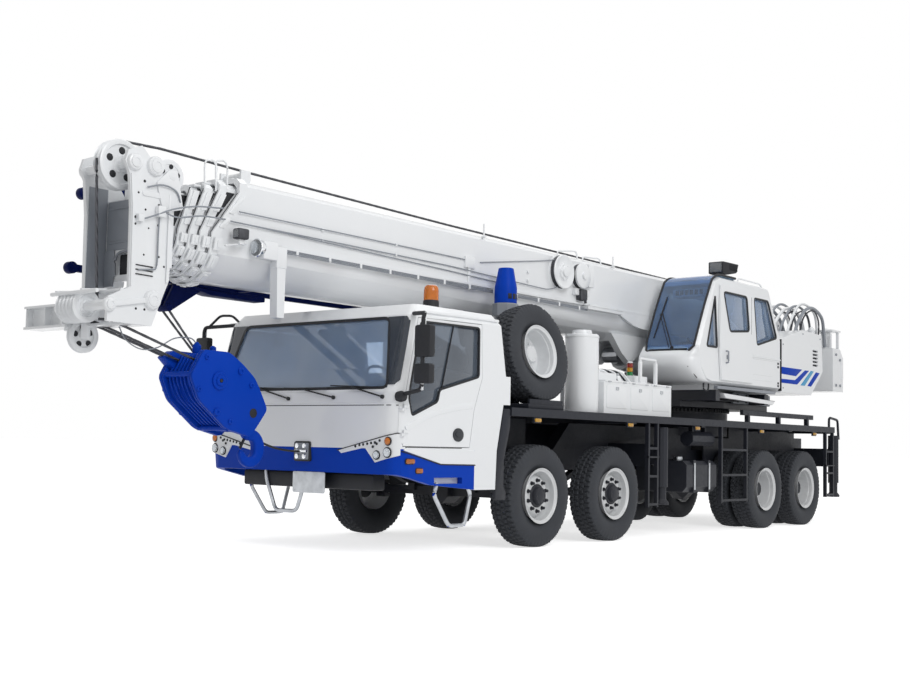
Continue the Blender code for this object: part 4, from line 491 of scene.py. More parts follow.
def finishes():
    """Makes every finish once, named for the real material."""
    if FINISHES:
        return FINISHES
    FINISHES.update(
        # White two-pack enamel over steel: clean and bright, with a soft blue-grey cast and a clear gloss
        white=coat_finish("white_enamel", "#eef0f2", "#dfe3e8", 0.32, 0.5),
        # Blue enamel: strong and even, with little gloss
        blue=coat_finish("blue_enamel", "#0b40b4", "#0a389e", 0.42, 0.02, sheen=0.06),
        # Navy enamel of the jib: deep and even, with little gloss
        navy=coat_finish("navy_enamel", "#08164c", "#07123c", 0.45, 0.02, sheen=0.05),
        # Chassis paint: blue-black satin, dusty low down
        black=coat_finish("chassis_paint", "#1d2029", "#15171d", 0.5, 0.05, dust="#5c5a56", dust_share=0.2,
                          sheen=0.25),
        # Turntable enamel: white cheeks over a blue-black ring and base plate
        two_tone=coat_finish("turntable_enamel", "#eef0f2", "#dfe3e8", 0.4, 0.1, under="#1d2029",
                             split=1.965, sheen=0.3),
        # Matt sheet close under the tinted roof glass: pale blue and even, a painted reflection of the sky
        blind=coat_finish("blind_cloth", "#b4d2ec", "#a2c2e0", 0.6, 0.0),
        # Turquoise enamel of the middle stripe: clear and even
        turquoise=coat_finish("turquoise_enamel", "#0a93c4", "#0884b4", 0.4, 0.2),
        # Moulded green lens of the signal tower: strong, half clear
        green=glass_finish("green_lens", "#2fa45a", "#1f8c48", 0.4),
        # Wheel enamel with aluminium flake: pale grey, dusty low down
        rim=coat_finish("wheel_enamel", "#dcdee0", "#c7cacd", 0.35, 0.3, dust="#8f8a80", dust_share=0.3),
        # Grey machine enamel over castings and pipes: satin and a little cloudy
        grey=coat_finish("grey_enamel", "#8a8f97", "#767b84", 0.45, 0.2),
        # Moulded tyre rubber: matt dark grey
        tyre=rubber_finish("tyre_rubber"),
        # Extruded hose and seal rubber: near black, with a faint sheen
        rubber=rubber_finish("seal_rubber", "#15161a", "#24262b", 0.6, 120.0),
        # Drawn and zinc-coated steel: light grey with fine lines and handling marks
        steel=metal_finish("drawn_steel", "#b9bcc0", "#85888c"),
        # Chrome plate on polished steel: bright, with sharp reflections
        chrome=metal_finish("chrome_plate", "#e3e5e8", "#b9bcc2", 0.12, share=0.25),
        # Greased wire rope: dark metal with broken highlights
        rope=metal_finish("wire_rope", "#55565a", "#2c2d30", 0.5, (60.0, 60.0, 60.0)),
        # Fired ceramic edge of bonded glass: smooth blue-black under the glass
        frit=coat_finish("glass_edge", "#1c2736", "#161e2b", 0.16, 0.5),
        # Bent laminated glass of the operator's windscreen: clear, tinted blue
        glass=glass_finish("tinted_glass", "#93b4da", "#7ea2cd", 0.88),
        # Toughened door glass, smoked in the melt: half clear and grey
        smoke=glass_finish("smoked_glass", "#7d8896", "#6a7583", 0.55),
        # Toughened side glass and the windscreen: pale blue, a third of it a pale matt layer that paints in
        # the brightness of what is seen through it and of the reflected sky
        pale=glass_finish("pale_glass_painted_bright", "#c2d6ee", "#aec6e4", 0.66),
        # Lamp lenses, moulded polycarbonate: strong colours, and a clear one for the lamps with reflectors
        amber=glass_finish("amber_lens", "#f08a1c", "#d8700c", 0.45),
        yellow=glass_finish("yellow_lens", "#f0b62c", "#d89c1e", 0.35),
        red=glass_finish("red_lens", "#c22a1c", "#9d1d13", 0.4),
        clear=glass_finish("clear_lens", "#eef2f5", "#dde3e8", 0.8),
        # Moulded interior plastic: dark grey with a fine grain
        plastic=rubber_finish("moulded_plastic", "#2b2d31", "#35383d", 0.55, 200.0),
        # Woven seat cloth: dull dark grey, slightly uneven
        cloth=rubber_finish("seat_cloth", "#34373d", "#45494f", 0.85, 300.0),
    )
    return FINISHES


SLOT_OF = {kind: slot for slot, kinds in {
    "white_paint": ("white", "two_tone"),
    "blue_paint": ("blue", "navy", "turquoise"),
    "frame_black": ("black", "rubber"),
    "steel": ("grey", "rim", "steel", "chrome", "rope"),
    "tyre": ("tyre",),
    "glass": ("blind", "frit", "glass", "smoke", "pale", "amber", "yellow", "red", "green", "clear"),
    "interior": ("plastic", "cloth"),
}.items() for kind in kinds}
BOTH = ("left", "right")
NODE_FINISH = {"two_tone": ("turntable",),
               "white": ("cab_shell", "cab_door_left", "cab_door_right", "deck_toolbox", "counterweight",
                         "main_winch", "rear_housing_left", "rear_housing_right", "operator_cab",
                         "operator_cab_door", "lift_cylinder_barrel", "boom_base_section", "boom_section_2",
                         "boom_section_3", "boom_section_4", "boom_tip_section", "boom_rest"),
               "blue": ("cab_bumper",), "navy": ("stowed_jib",),
               "black": ("chassis_frame", "deck", "engine_block", "fuel_tank", "axle_1_steered",
                         "axle_2_steered", "axle_3_driven", "axle_4_driven",
                         *(f"knuckle_{k}_{side}" for k in (1, 2) for side in BOTH),
                         *(f"outrigger_{part}_{end}_{side}" for part in ("beam", "jack")
                           for end in ("front", "rear") for side in BOTH)),
               "steel": ("lift_cylinder_rod", "head_sheaves_top", "head_sheaves_bottom", "hook_block",
                         "exhaust_stack", "hydraulic_tank", "operator_windscreen"), "pale": ("windscreen",),
               "plastic": ("cab_interior", "operator_seat"),
               "tyre": (*(f"wheel_{k}_{side}" for k in (1, 2, 3, 4) for side in BOTH), "spare_wheel"),}
# Plate work whose edges are rounded
EASED = ("white", "two_tone", "blue", "navy", "black")
# The front step of the bumper node is a finer piece here
DROPPED = {"cab_bumper": lambda x, y, z: z < 0.635 and abs(y) < 0.9}
# Solids that keep their own mesh
WHOLE = ("operator_cab",)


class CraneSettings(bpy.types.PropertyGroup):
    """Sizes and colours that a user may want to change."""

    tread_depth: FloatProperty(name="Tread depth", description="Depth of the tyre tread grooves",
                               default=0.014, min=0.0, max=0.03, unit="LENGTH")
    edge_width: FloatProperty(name="Edge rounding", description="Rounding of the edges of plate work",
                              default=0.008, min=0.001, max=0.02, unit="LENGTH")
    floor_colour: FloatVectorProperty(name="Floor colour", description="Colour of the floor and backdrop",
                                      subtype="COLOR", size=4, default=(0.9, 0.9, 0.9, 1.0), min=0.0,
                                      max=1.0)
    nut_count: IntProperty(name="Wheel nuts", description="Number of wheel nuts on each hub", default=10,
                           min=6, max=12)


class CRANE_OT_solids(bpy.types.Operator):
    """Gives every solid of the frame its finish and rounds the edges of plate work"""

    bl_idname = "crane.solids"
    bl_label = "Solids and their finishes"

    def execute(self, context):
        width = context.scene.crane.edge_width
        for kind, names in NODE_FINISH.items():
            for name in names:
                NODES[name].data.materials.clear()
                NODES[name].data.materials.append(finishes()[kind])
                if kind in EASED and name not in WHOLE:
                    eased(name, kind, width, DROPPED.get(name))
        return {"FINISHED"}


# Wheels

TYRE_RADIUS, TYRE_WIDTH, RIM_RADIUS = 0.561, 0.313, 0.301
WHEEL_Z = 0.561
TREAD_BLOCKS = 56


def tyre(centre_y, x, z, depth, out):
    """A tyre as a grid of angle and way round its section, less a groove pattern on its tread.

    Four circumferential rows of blocks are cut by lateral grooves that step half a pitch from row to row.
    """
    across = 44
    u = np.linspace(0, 2 * np.pi, 240, endpoint=False)[:, None]
    wall = [(-0.62, RIM_RADIUS - 0.006), (-0.74, RIM_RADIUS + 0.008), (-0.93, RIM_RADIUS + 0.07),
            (-1.0, RIM_RADIUS + 0.135), (-0.975, RIM_RADIUS + 0.19), (-0.9, TYRE_RADIUS - 0.024)]
    tread = [(t, TYRE_RADIUS - 0.01 * t * t) for t in np.linspace(-0.84, 0.84, across - 2 * len(wall) - 4)]
    inner = [(0.55, RIM_RADIUS - 0.03), (0.2, RIM_RADIUS - 0.035), (-0.2, RIM_RADIUS - 0.035),
             (-0.55, RIM_RADIUS - 0.03)]
    section = np.array(wall + tread + [(-a, b) for a, b in wall[::-1]] + inner)
    a, r = section[:, 0][None] * np.ones_like(u), section[:, 1][None] * np.ones_like(u)
    on_tread = (np.abs(a) < 0.86) & (r > TYRE_RADIUS - 0.02)
    groove = (np.abs(np.abs(a) - 0.42) < 0.045) | (np.abs(a) < 0.04)
    row = np.floor((a + 1) / 0.46)
    pitch = u / (2 * np.pi) * TREAD_BLOCKS
    groove |= ((pitch + 0.5 * (row % 2) + 0.35 * a) % 1.0 < 0.28) & (np.abs(a) > 0.05)
    shoulder = (np.abs(a) > 0.8) & (r > TYRE_RADIUS - 0.03) & ((pitch + 0.3 * a) % 1.0 < 0.35)
    r = r - depth * (on_tread & groove) - depth * 0.9 * (shoulder & ~(on_tread & groove))
    return np.stack([x + r * np.cos(u), centre_y + out * a * TYRE_WIDTH / 2, z + r * np.sin(u)], -1)


RIM_LIP = [(0.135, 0.268), (0.15, 0.3), (0.154, 0.304), (0.154, 0.298)]
# Outlines of rim and cap as (outwards, radius), the nuts' seat, and the level and reach of the cap's bolts
WHEEL_KINDS = {"front": ([*RIM_LIP, (0.14, 0.283), (0.105, 0.272), (0.055, 0.262), (0.02, 0.25),
                          (0.052, 0.222), (0.078, 0.205), (0.088, 0.19), (0.09, 0.12), (0.09, 0.1),
                          (0.06, 0.098), (0.06, 0.13), (0.06, 0.19), (-0.02, 0.235), (-0.12, 0.262)],
                         [(0.055, 0.128), (0.098, 0.128), (0.104, 0.122), (0.108, 0.105), (0.135, 0.098),
                          (0.148, 0.09), (0.15, 0.06), (0.153, 0.052), (0.154, 0.01)], 0.09, 0.148, 0.075),
               "rear": ([*RIM_LIP, (0.14, 0.286), (0.1, 0.276), (0.08, 0.262), (0.03, 0.258),
                         (-0.04, 0.252), (-0.075, 0.24), (-0.085, 0.215), (-0.088, 0.14), (-0.088, 0.1),
                         (-0.12, 0.1), (-0.12, 0.24), (-0.12, 0.262)],
                        [(-0.11, 0.12), (-0.07, 0.12), (-0.055, 0.112), (0.02, 0.098), (0.03, 0.09),
                         (0.034, 0.03), (0.035, 0.008)], -0.088, 0.03, 0.07)}
NUT = [(-0.002, 0.024), (0.004, 0.024), (0.006, 0.017), (0.034, 0.016), (0.04, 0.01)]
NUT_RING = 0.168
CAP_BOLT = [(-0.004, 0.011), (0.003, 0.01), (0.005, 0.004)]
AXLES = (0.0, -1.51, -5.55, -6.9)
OUTER_Y, INNER_Y = 1.2235, 0.8705


def wheel_parts(x, y, z, out, kind, depth, nuts):
    """The rubber, enamel and hub surfaces of a wheel; out is +1 or -1, the way its outer face looks."""
    rim, cap, seat, level, reach = WHEEL_KINDS[kind]
    way = np.array((out, 1))
    hub = [turned((np.array(NUT) + (seat, 0)) * way, at, "y", 8)
           for at in spread(nuts, (x, y, z), NUT_RING, math.pi / nuts)]
    hub.append(turned(cap * way, (x, y, z), "y", 40))
    hub += [turned((np.array(CAP_BOLT) + (level, 0)) * way, at, "y", 6)
            for at in spread(8, (x, y, z), reach)]
    return [tyre(y, x, z, depth, out)], [turned(rim * way, (x, y, z), "y", 72)], hub


class CRANE_OT_wheels(bpy.types.Operator):
    """Builds tyres with block tread, dished rims, hubs and nuts for all axles and the spare"""

    bl_idname = "crane.wheels"
    bl_label = "Wheels"

    def execute(self, context):
        settings = context.scene.crane
        for index, x in enumerate(AXLES, 1):
            for side, s in SIDES:
                name = f"wheel_{index}_{side}"
                rubber, enamel, hub = Form(), Form(), Form()
                kind = "front" if index < 3 else "rear"
                for y, out in ((OUTER_Y, s), (INNER_Y, -s))[:1 if kind == "front" else 2]:
                    parts = wheel_parts(x, s * y, WHEEL_Z, out, kind, settings.tread_depth,
                                        settings.nut_count)
                    rubber.add(*parts[0], loop=True)
                    enamel.add(*parts[1], loop=True)
                    if y == OUTER_Y:
                        hub.add(*parts[2])
                piece = rubber.make(f"tyre_{index}_{side}", name, "tyre", angle=30)
                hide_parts(name)
                enamel.make(f"rim_{index}_{side}", name, "rim", angle=30)
                hub.make(f"hub_{index}_{side}", name, "black", angle=30)
        return {"FINISHED"}


# Front cab

CARRIER = NODES["cab_shell"]["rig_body"]
FRONT_Z = (0.6, 1.046, 1.61, 1.83, 2.36, 2.475)
FRONT_X = (2.335, 2.388, 2.366, 2.302, 2.165, 2.06)
CAB_FLAT, CAB_CORNER, CAB_FLOOR = 1.22, 0.16, 1.0963
BEACON = (1.37, 0.9, 0)
DOOR_WINDOW = ((2.055, 2.295), (1.145, 2.305), (1.14, 1.8), (1.76, 1.64), (1.79, 1.52), (2.17, 1.37),
               (2.215, 1.53), (2.205, 1.63))


def around(s, z, out):
    """A point of the cab's front skin: s runs along its plan outline from the middle, straight to CAB_FLAT,
    round a CAB_CORNER arc, then back along the side; out is the distance in front of the skin."""
    s, z, out = np.broadcast_arrays(*(np.asarray(v, float) for v in (s, z, out)))
    run = np.abs(s)
    turn = np.clip((run - CAB_FLAT) / CAB_CORNER, 0, np.pi / 2)
    back = np.maximum(run - CAB_FLAT - CAB_CORNER * np.pi / 2, 0)
    x = np.interp(z, FRONT_Z, FRONT_X) - CAB_CORNER + (CAB_CORNER + out) * np.cos(turn) - back
    y = np.minimum(run, CAB_FLAT) + (CAB_CORNER + out) * np.sin(turn)
    return np.stack([x, np.where(s < 0, -y, y), z], -1)


def strip(first, last, low, high, out, steps=28):
    """A band on the cab's skin from one s to another, its lower and upper edges read off (s, z) corners."""
    low, high = np.asarray(low, float), np.asarray(high, float)
    s = np.concatenate([np.linspace(first, last, steps), low[:, 0], high[:, 0]])
    s = np.unique(np.clip(s, first, last))[:, None]
    low, high = np.interp(s, *low.T), np.interp(s, *high.T)
    e = min(0.003, out / 2)
    level = np.concatenate([low, low, low + e, high - e, high, high], 1)
    return around(s, level, np.array([-0.01, out - e, out, out, out - e, -0.01]))


def cushion(low, high, axis, channels):
    """A crowned closed form between two corners: its outline shrinks as the cosine and its faces rise as the
    sine of the way over it, both raised to a low power; sewn channels press a bell curve into both faces."""
    low, high = np.asarray(low, float), np.asarray(high, float)
    k = "xyz".index(axis)
    across = [i for i in range(3) if i != k]
    middle, half = (low + high) / 2, (high - low) / 2
    corner = rounded(rectangle(-1, -1, 1, 1), 0.35, 6) * half[across]
    fine = np.stack([np.interp(np.arange(0, len(corner), 0.5), np.arange(len(corner) + 1),
                               np.r_[corner[:, i], corner[:1, i]]) for i in range(2)], -1)
    way = np.linspace(-np.pi / 2 + 0.02, np.pi / 2 - 0.02, 30)
    share = np.abs(np.cos(way)) ** 0.3
    rise = np.sign(np.sin(way)) * np.abs(np.sin(way)) ** 0.7
    grid = fine[None] * share[:, None, None]
    lift = np.broadcast_to(rise[:, None] * half[k], grid.shape[:2]).copy()
    for place in channels:
        lift *= 1 - 0.16 * np.exp(-((grid[..., 0] - place) / 0.02) ** 2)
    out = np.empty(grid.shape[:2] + (3,))
    out[..., across[0]], out[..., across[1]] = grid[..., 0] + middle[across[0]], grid[...,
                                                                                      1] + middle[across[1]]
    out[..., k] = lift + middle[k]
    return out


class CRANE_OT_cab(bpy.types.Operator):
    """Builds the front cab's glass, seals, wipers, mirrors, lamps, steps and lower panels"""

    bl_idname = "crane.cab"
    bl_label = "Front cab"

    def execute(self, context):
        black, white, silver, grey, lens, chrome, orange = (Form() for _ in range(7))
        # Windscreen seal and wipers
        pane = rounded([(-1.22, 1.635), (1.22, 1.635), (1.06, 2.335), (-1.06, 2.335)], 0.07, 5)
        black.add(band(around(pane[:, 0], pane[:, 1], 0.001), 0.03, 0.006, (1, 0, 0)), loop=True)
        for start, end in (((-0.604, 1.64), (-0.138, 1.536)), ((0.082, 1.619), (0.516, 1.544)),
                           ((0.756, 1.636), (1.18, 1.546))):
            root, tip = around(end[0], end[1], 0.018), around(start[0], start[1] + 0.01, 0.026)
            black.add(bar(root, tip, 0.022, 0.014), disc(root - (0.02, 0, 0), 0.02, 0.0, 0.03, "x"))
            ends = np.array([(start[0] - 0.3, start[1] + 0.028), (start[0] + 0.34, start[1] + 0.004)])
            black.add(bar(*around(ends[:, 0], np.maximum(ends[:, 1], 1.632), 0.014), 0.016, 0.012))
        # Hood seam and front panel joints
        black.add(strip(-1.34, 1.353, [(-1.34, 1.462)] * 2, [(1.353, 1.47)] * 2, 0.0015))
        white.add(strip(-1.4, 1.42, [(-1.4, 1.492), (1.42, 1.492)], [(-1.4, 1.6), (1.42, 1.6)], 0.006),
                  strip(1.36, 1.42, [(1.36, 1.1), (1.42, 1.1)], [(1.36, 1.46), (1.42, 1.46)], 0.005))
        # Lamp panels, with their lamps and slots
        low = [(0.622, 1.015), (0.651, 0.994), (0.978, 1.054), (1.1, 0.912), (1.385, 0.985)]
        high = [(0.622, 1.023), (1.351, 1.191), (1.385, 1.186)]
        panel = strip(0.622, 1.385, low, high, 0.01, steps=40)
        edge = strip(0.6, 1.4, [(0.6, 1.017), (1.351, 1.192), (1.4, 1.192)],
                     [(0.6, 1.026), (1.351, 1.201), (1.4, 1.2)], 0.012)
        white.both(panel)
        black.both(edge)
        for s, z, radius, form in ((1.272, 1.119, 0.034, orange), (1.266, 1.011, 0.042, lens),
                                   (1.13, 0.984, 0.036, lens)):
            at = around(s, z, 0.0)
            black.both(disc(at, radius + 0.01, 0.0, 0.016, "x"))
            chrome.both(disc(at, radius, 0.004, 0.02, "x"))
            form.both(turned([(0.014, radius), (0.02, radius), (0.026, radius * 0.8), (0.03, radius * 0.4),
                              (0.031, 0.002)], at, "x", 28))
        for s, z in ((0.853, 1.064), (0.907, 1.077), (0.957, 1.083), (1.01, 1.091), (1.06, 1.099),
                     (1.109, 1.104), (1.171, 1.124), (1.084, 1.063), (1.133, 1.093)):
            black.both(disc(around(s, z, 0.0), 0.0135, 0.006, 0.0125, "x", 0.001, 10))
        # White apron over the bumper band's sides, its joint line, side lamps and step slot
        apron = strip(1.43, 2.5, [(1.43, 1.03), (1.958, 0.906), (2.5, 0.9)], [(1.43, 1.046), (2.5, 1.046)],
                      0.006)
        joint = strip(1.4, 2.5, [(1.4, 1.02), (1.958, 0.894), (2.5, 0.888)],
                      [(1.4, 1.03), (1.958, 0.906), (2.5, 0.9)], 0.008)
        white.both(apron)
        black.both(joint)
        for x, z, width in ((2.184, 0.929, 0.062), (2.049, 0.838, 0.05)):
            oval = rounded(rectangle(x - width, z - 0.022, x + width, z + 0.022), 0.02)
            orange.both(plate(oval, 1.376, 1.393, "y", 0.005))
            black.both(plate(inset(oval, -0.008), 1.374, 1.385, "y", 0.003))
        white.both(block((1.36, 1.27, 0.7), (1.84, 1.315, 0.78), 0.006))
        black.both(plate([(1.4, 1.06), (1.4, 1.068), (2.25, 1.068), (2.25, 1.06)], 1.372, 1.3815, "y",
                         0.002))
        path = [(1.25, 1.35, 0.66), (1.21, 1.35, 0.6), (1.3, 1.35, 0.29), (1.55, 1.35, 0.29),
                (1.785, 1.35, 0.6), (1.745, 1.35, 0.72)]
        silver.both(pipe(path, 0.05, 0.021))
        # Front step, bare front plate, tow box and beam
        path = [(2.25, -0.6, 0.95), (2.25, -0.575, 0.7), (2.25, -0.424, 0.379), (2.25, -0.11, 0.385),
                (2.25, -0.03, 0.6), (2.25, -0.01, 0.95)]
        silver.add(pipe(path, 0.06, 0.021),
                   block((2.338, -0.076, 0.583), (2.346, 0.39, 0.798), 0.003, 0.02, "x"))
        black.add(block((2.326, -0.06, 0.6), (2.338, 0.375, 0.95), 0.004, 0.01, "x"))
        for y in (-0.05, 0.364):
            silver.add(disc((0, y, 0.775), 0.008, 2.344, 2.349, "x", 0.002, 10),
                       disc((0, y, 0.606), 0.008, 2.344, 2.349, "x", 0.002, 10))
        black.add(block((2.06, -0.95, 0.63), (2.24, 0.95, 0.79), 0.02),
                  block((2.1, -0.7, 0.77), (2.22, 0.7, 0.92), 0.01))
        frame_outline = rounded(rectangle(-0.012, 0.9, 0.224, 1.104), 0.03)
        black.add(plate(frame_outline, 2.36, 2.405, "x", 0.008))
        grey.add(plate(inset(frame_outline, 0.018), 2.398, 2.408, "x", 0.004))
        for y in (0.05, 0.155):
            chrome.add(disc((0, y, 1.055), 0.026, 2.4, 2.425, "x"),
                       disc((0, y, 0.95), 0.026, 2.4, 2.425, "x"))
        chrome.add(tube([(2.42, 0.02, 1.003), (2.42, 0.195, 1.003)], 0.014))
        # Beacon, roof gutters and side rub strips
        black.add(turned([(2.44, 0.08), (2.46, 0.084), (2.585, 0.084), (2.6, 0.079)], BEACON, "z", 32))
        orange.add(turned([(2.595, 0.076), (2.61, 0.079), (2.7, 0.079), (2.735, 0.074), (2.755, 0.06),
                           (2.765, 0.035), (2.768, 0.004)], BEACON, "z", 32))
        side = [(2.15, 1.366, 2.376), (2.05, 1.362, 2.395), (1.4, 1.35, 2.405), (0.8, 1.35, 2.41)]
        white.both(pipe(side, 0.05, 0.016))
        # Mirrors on bowed arms
        path = [(2.12, 1.33, 2.37), (2.29, 1.62, 2.345), (2.31, 1.62, 2.3), (2.31, 1.62, 1.66),
                (2.31, 1.6, 1.61), (2.31, 1.33, 1.56)]
        black.both(pipe(path, 0.06, 0.0205))
        foot = turned([(0, 0.002), (0.01, 0.05), (0.05, 0.055), (0.09, 0.045), (0.1, 0.01)], (0, 0, 0), "y",
                      20)
        black.both(foot + (2.31, 1.31, 1.55))
        for low_z, high_z in ((1.925, 2.228), (1.672, 1.858)):
            black.both(block((2.252, 1.53, low_z - 0.002), (2.336, 1.73, high_z + 0.002), 0.016, 0.028,
                             "x"))
            chrome.both(block((2.248, 1.55, low_z + 0.02), (2.256, 1.71, high_z - 0.02), 0.002, 0.02, "x"))
        # Dark edge of the bonded windscreen, from its opening round to the pillars
        border = Form()
        z = np.linspace(1.665, 2.345, 16)
        front = np.interp(z, (1.6, 1.75, 1.9, 2.2, 2.36), (2.366, 2.325, 2.284, 2.206, 2.165))
        inner = np.interp(z, (1.635, 2.335), (1.205, 1.045))
        outer = np.interp(z, (1.665, 1.71, 2.3, 2.345), (1.29, 1.33, 1.32, 1.28))
        y = inner + (outer - inner) * np.linspace(0, 1, 14)[:, None]
        x = front + 0.007 - np.interp(y, (1.235, 1.305, 1.34), (0, 0.0155, 0.047))
        face = np.stack([x, y, np.broadcast_to(z, x.shape)], -1)
        border.both(np.concatenate([face, (face - (0.01, 0, 0))[:, ::-1]], 1))
        border.make("windscreen_border", CARRIER, "frit")
        # Far roof bracket over the right pillar
        black.add(pipe([(2.08, -1.26, 2.38), (2.13, -1.36, 2.48), (2.2, -1.48, 2.48), (2.275, -1.58, 2.35)],
                       0.04, 0.014))
        # Inner mirror and sun lining seen through the windscreen
        black.add(block((1.95, -1.03, 2.33), (2.1, 1.03, 2.385), 0.012),
                  tube([(2.06, -0.55, 2.34), (2.1, -0.6, 2.22)], 0.009),
                  disc((0, -0.62, 2.18), 0.085, 2.085, 2.105, "x"))
        black.make("cab_trim", CARRIER, "rubber", "interior")
        white.make("cab_panels", CARRIER, "white")
        silver.make("cab_steps", CARRIER, "steel")
        grey.make("tow_box_plate", CARRIER, "grey")
        chrome.make("lamp_reflectors", CARRIER, "chrome")
        lens.make("headlamp_lenses", CARRIER, "clear")
        orange.make("amber_lamps", CARRIER, "amber")
        for side, sign in SIDES:
            door = NODES[f"cab_door_{side}"]["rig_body"]
            window = rounded(DOOR_WINDOW, 0.035, 4)
            glass, seal, handle = Form(), Form(), Form()
            glass.add(plate(inset(window, -0.01), 1.35, 1.358, "y", 0.002) * (1, sign, 1))
            seal.add(band(on_side(window, 1.374), 0.024, 0.01, (0, 1, 0)) * (1, sign, 1), loop=True)
            seal.add(bar((1.55, sign * 1.366, 2.31), (1.72, sign * 1.366, 1.655), 0.014, 0.012))
            oval = circle(1.0, 32) * (0.082, 0.068) + (1.465, 1.198)
            handle.add(plate(oval, 1.372, 1.392, "y", 0.006) * (1, sign, 1),
                       plate(circle(1.0, 28) * (0.055, 0.03) + (1.465, 1.205), 1.386, 1.402, "y", 0.006)
                       * (1, sign, 1))
            skin = Form()
            ridge = [(2.25, 1.235), (1.9, 1.385), (1.55, 1.46), (1.24, 1.5)]
            ridge = smooth_path([(x, 1.379 * sign, z) for x, z in ridge], 6)
            skin.add(carried(ridge, rounded(rectangle(-0.03, -0.006, 0.03, 0.006), 0.006, 2),
                             up=(0, sign, 0)))
            glass.make(f"door_glass_{side}", door, "smoke")
            seal.make(f"door_seal_{side}", door, "rubber", "interior")
            handle.make(f"door_handle_{side}", door, "plastic")
            skin.make(f"door_crease_{side}", door, "white")
        return {"FINISHED"}


class CRANE_OT_interior(bpy.types.Operator):
    """Builds the front cab's seats, dashboard, steering wheel and floor"""

    bl_idname = "crane.interior"
    bl_label = "Front cab interior"

    def execute(self, context):
        floor = CAB_FLOOR
        trim = Form()
        trim.add(block((1.0, -1.2, floor), (2.25, 1.2, floor + 0.03), 0.005))
        dash = rounded([(2.26, floor + 0.02), (2.27, floor + 0.46), (2.2, floor + 0.5),
                        (2.06, floor + 0.49), (2.02, floor + 0.44), (2.08, floor + 0.3),
                        (2.1, floor + 0.02)], 0.04)
        trim.add(plate(dash, -1.15, 1.15, "y", 0.02))
        hood = rounded([(2.16, floor + 0.46), (2.14, floor + 0.5), (2.02, floor + 0.495),
                        (2.0, floor + 0.43), (2.08, floor + 0.4)], 0.02)
        trim.add(plate(hood, 0.48, 0.96, "y", 0.015))
        angle = np.linspace(0, 2 * np.pi, 48, endpoint=False)
        ring = np.stack([np.zeros(48), 0.212 * np.cos(angle), 0.212 * np.sin(angle)], -1)
        wheel = carried(ring, circle(0.014, 10), up=(1, 0, 0), loop=True)
        tilt = {"turn": 43, "axis": "y"}
        place = np.array((1.86, 0.72, floor + 0.62))
        trim.add(moved(wheel, **tilt) + place, loop=True)
        for a in (0.5, 2.64, -1.57):
            spoke = bar((0, 0, 0), (0, 0.205 * math.cos(a), 0.205 * math.sin(a)), 0.03, 0.012, up=(1, 0, 0))
            trim.add(moved(spoke, **tilt) + place)
        trim.add(moved(disc((0, 0, 0), 0.062, -0.03, 0.012, "x", 0.01), **tilt) + place,
                 tube([(2.1, 0.72, floor + 0.4), (1.87, 0.72, floor + 0.61)], 0.028, 14))
        piece = trim.make("cab_dashboard", CARRIER, "plastic")
        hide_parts("cab_interior")
        for name, y in (("driver", 0.72), ("mate", -0.72)):
            seat, back, base = Form(), Form(), Form()
            seat.add(cushion((1.15, y - 0.25, floor + 0.27), (1.62, y + 0.25, floor + 0.42), "z",
                             (-0.1, 0.1)))
            upright = cushion((1.1, y - 0.24, floor + 0.4), (1.21, y + 0.24, floor + 0.98), "x",
                              (-0.15, 0.15))
            back.add(moved(upright, turn=-14, axis="y", about=(1.16, y, floor + 0.4)))
            base.add(block((1.2, y - 0.2, floor + 0.02), (1.57, y + 0.2, floor + 0.3), 0.02))
            for part, form in (("seat", seat), ("backrest", back)):
                pad = form.make(f"{name}_{part}", CARRIER, "cloth")
            base.make(f"{name}_seat_base", CARRIER, "plastic")
        return {"FINISHED"}


# Boom, head and hook block

BOOM, TIP = "boom_base", "boom_tip"
HOIST_ROPE = 0.013
BOOM_HALF, BOOM_LIP, BOOM_LOW, BOOM_TOP = 0.4, 3.0, 2.57, 3.54
# Each section's collar: its upper and lower X, how much smaller it is than the base, the section inside it,
# and the upper and lower X where the painted shade between this collar and the next ends
COLLARS = (("boom_base", 3.6, 3.9, 0.0, "boom_2", 3.715, 3.915),
           ("boom_2", 3.8, 4.0, 0.045, "boom_3", 3.845, 4.005),
           ("boom_3", 3.93, 4.09, 0.09, "boom_4", 3.965, 4.095),
           ("boom_4", 4.05, 4.18, 0.135, "boom_tip", 4.2, 4.23))
# The head's rope wheels, seen from the side, and where across the head the small wheel under it hangs
TOP_WHEELS, BOTTOM_WHEELS, UNDER_WHEEL = (4.74, 0, 3.5), (4.94, 0, 2.23), -0.22
HOOK_OUTLINE = ((3.8, 1.93), (3.5, 1.925), (3.33, 1.82), (3.18, 1.7), (3.115, 1.6), (3.005, 1.4),
                (3.08, 1.3), (3.21, 1.13), (3.51, 1.2), (3.845, 1.46), (3.95, 1.68), (3.826, 1.9))


def belly(angle, grow, out):
    """A point of a section's belly, as (y, z): an ellipse's cosine and sine, less grow and plus out."""
    a = np.radians(angle)
    return (BOOM_HALF - grow + out) * np.cos(a), BOOM_LIP - (BOOM_LIP - BOOM_LOW - grow + out) * np.sin(a)


def belly_block(x0, x1, first, last, grow, low, high, edge=0.006):
    """A block bent round the belly from one angle to another."""
    angle = np.linspace(first, last, 8)[:, None]
    x, out = rounded(rectangle(x0, low, x1, high), edge, 2).T
    y, z = belly(angle, grow, out[None])
    return np.stack([np.broadcast_to(x, y.shape), y, z], -1)


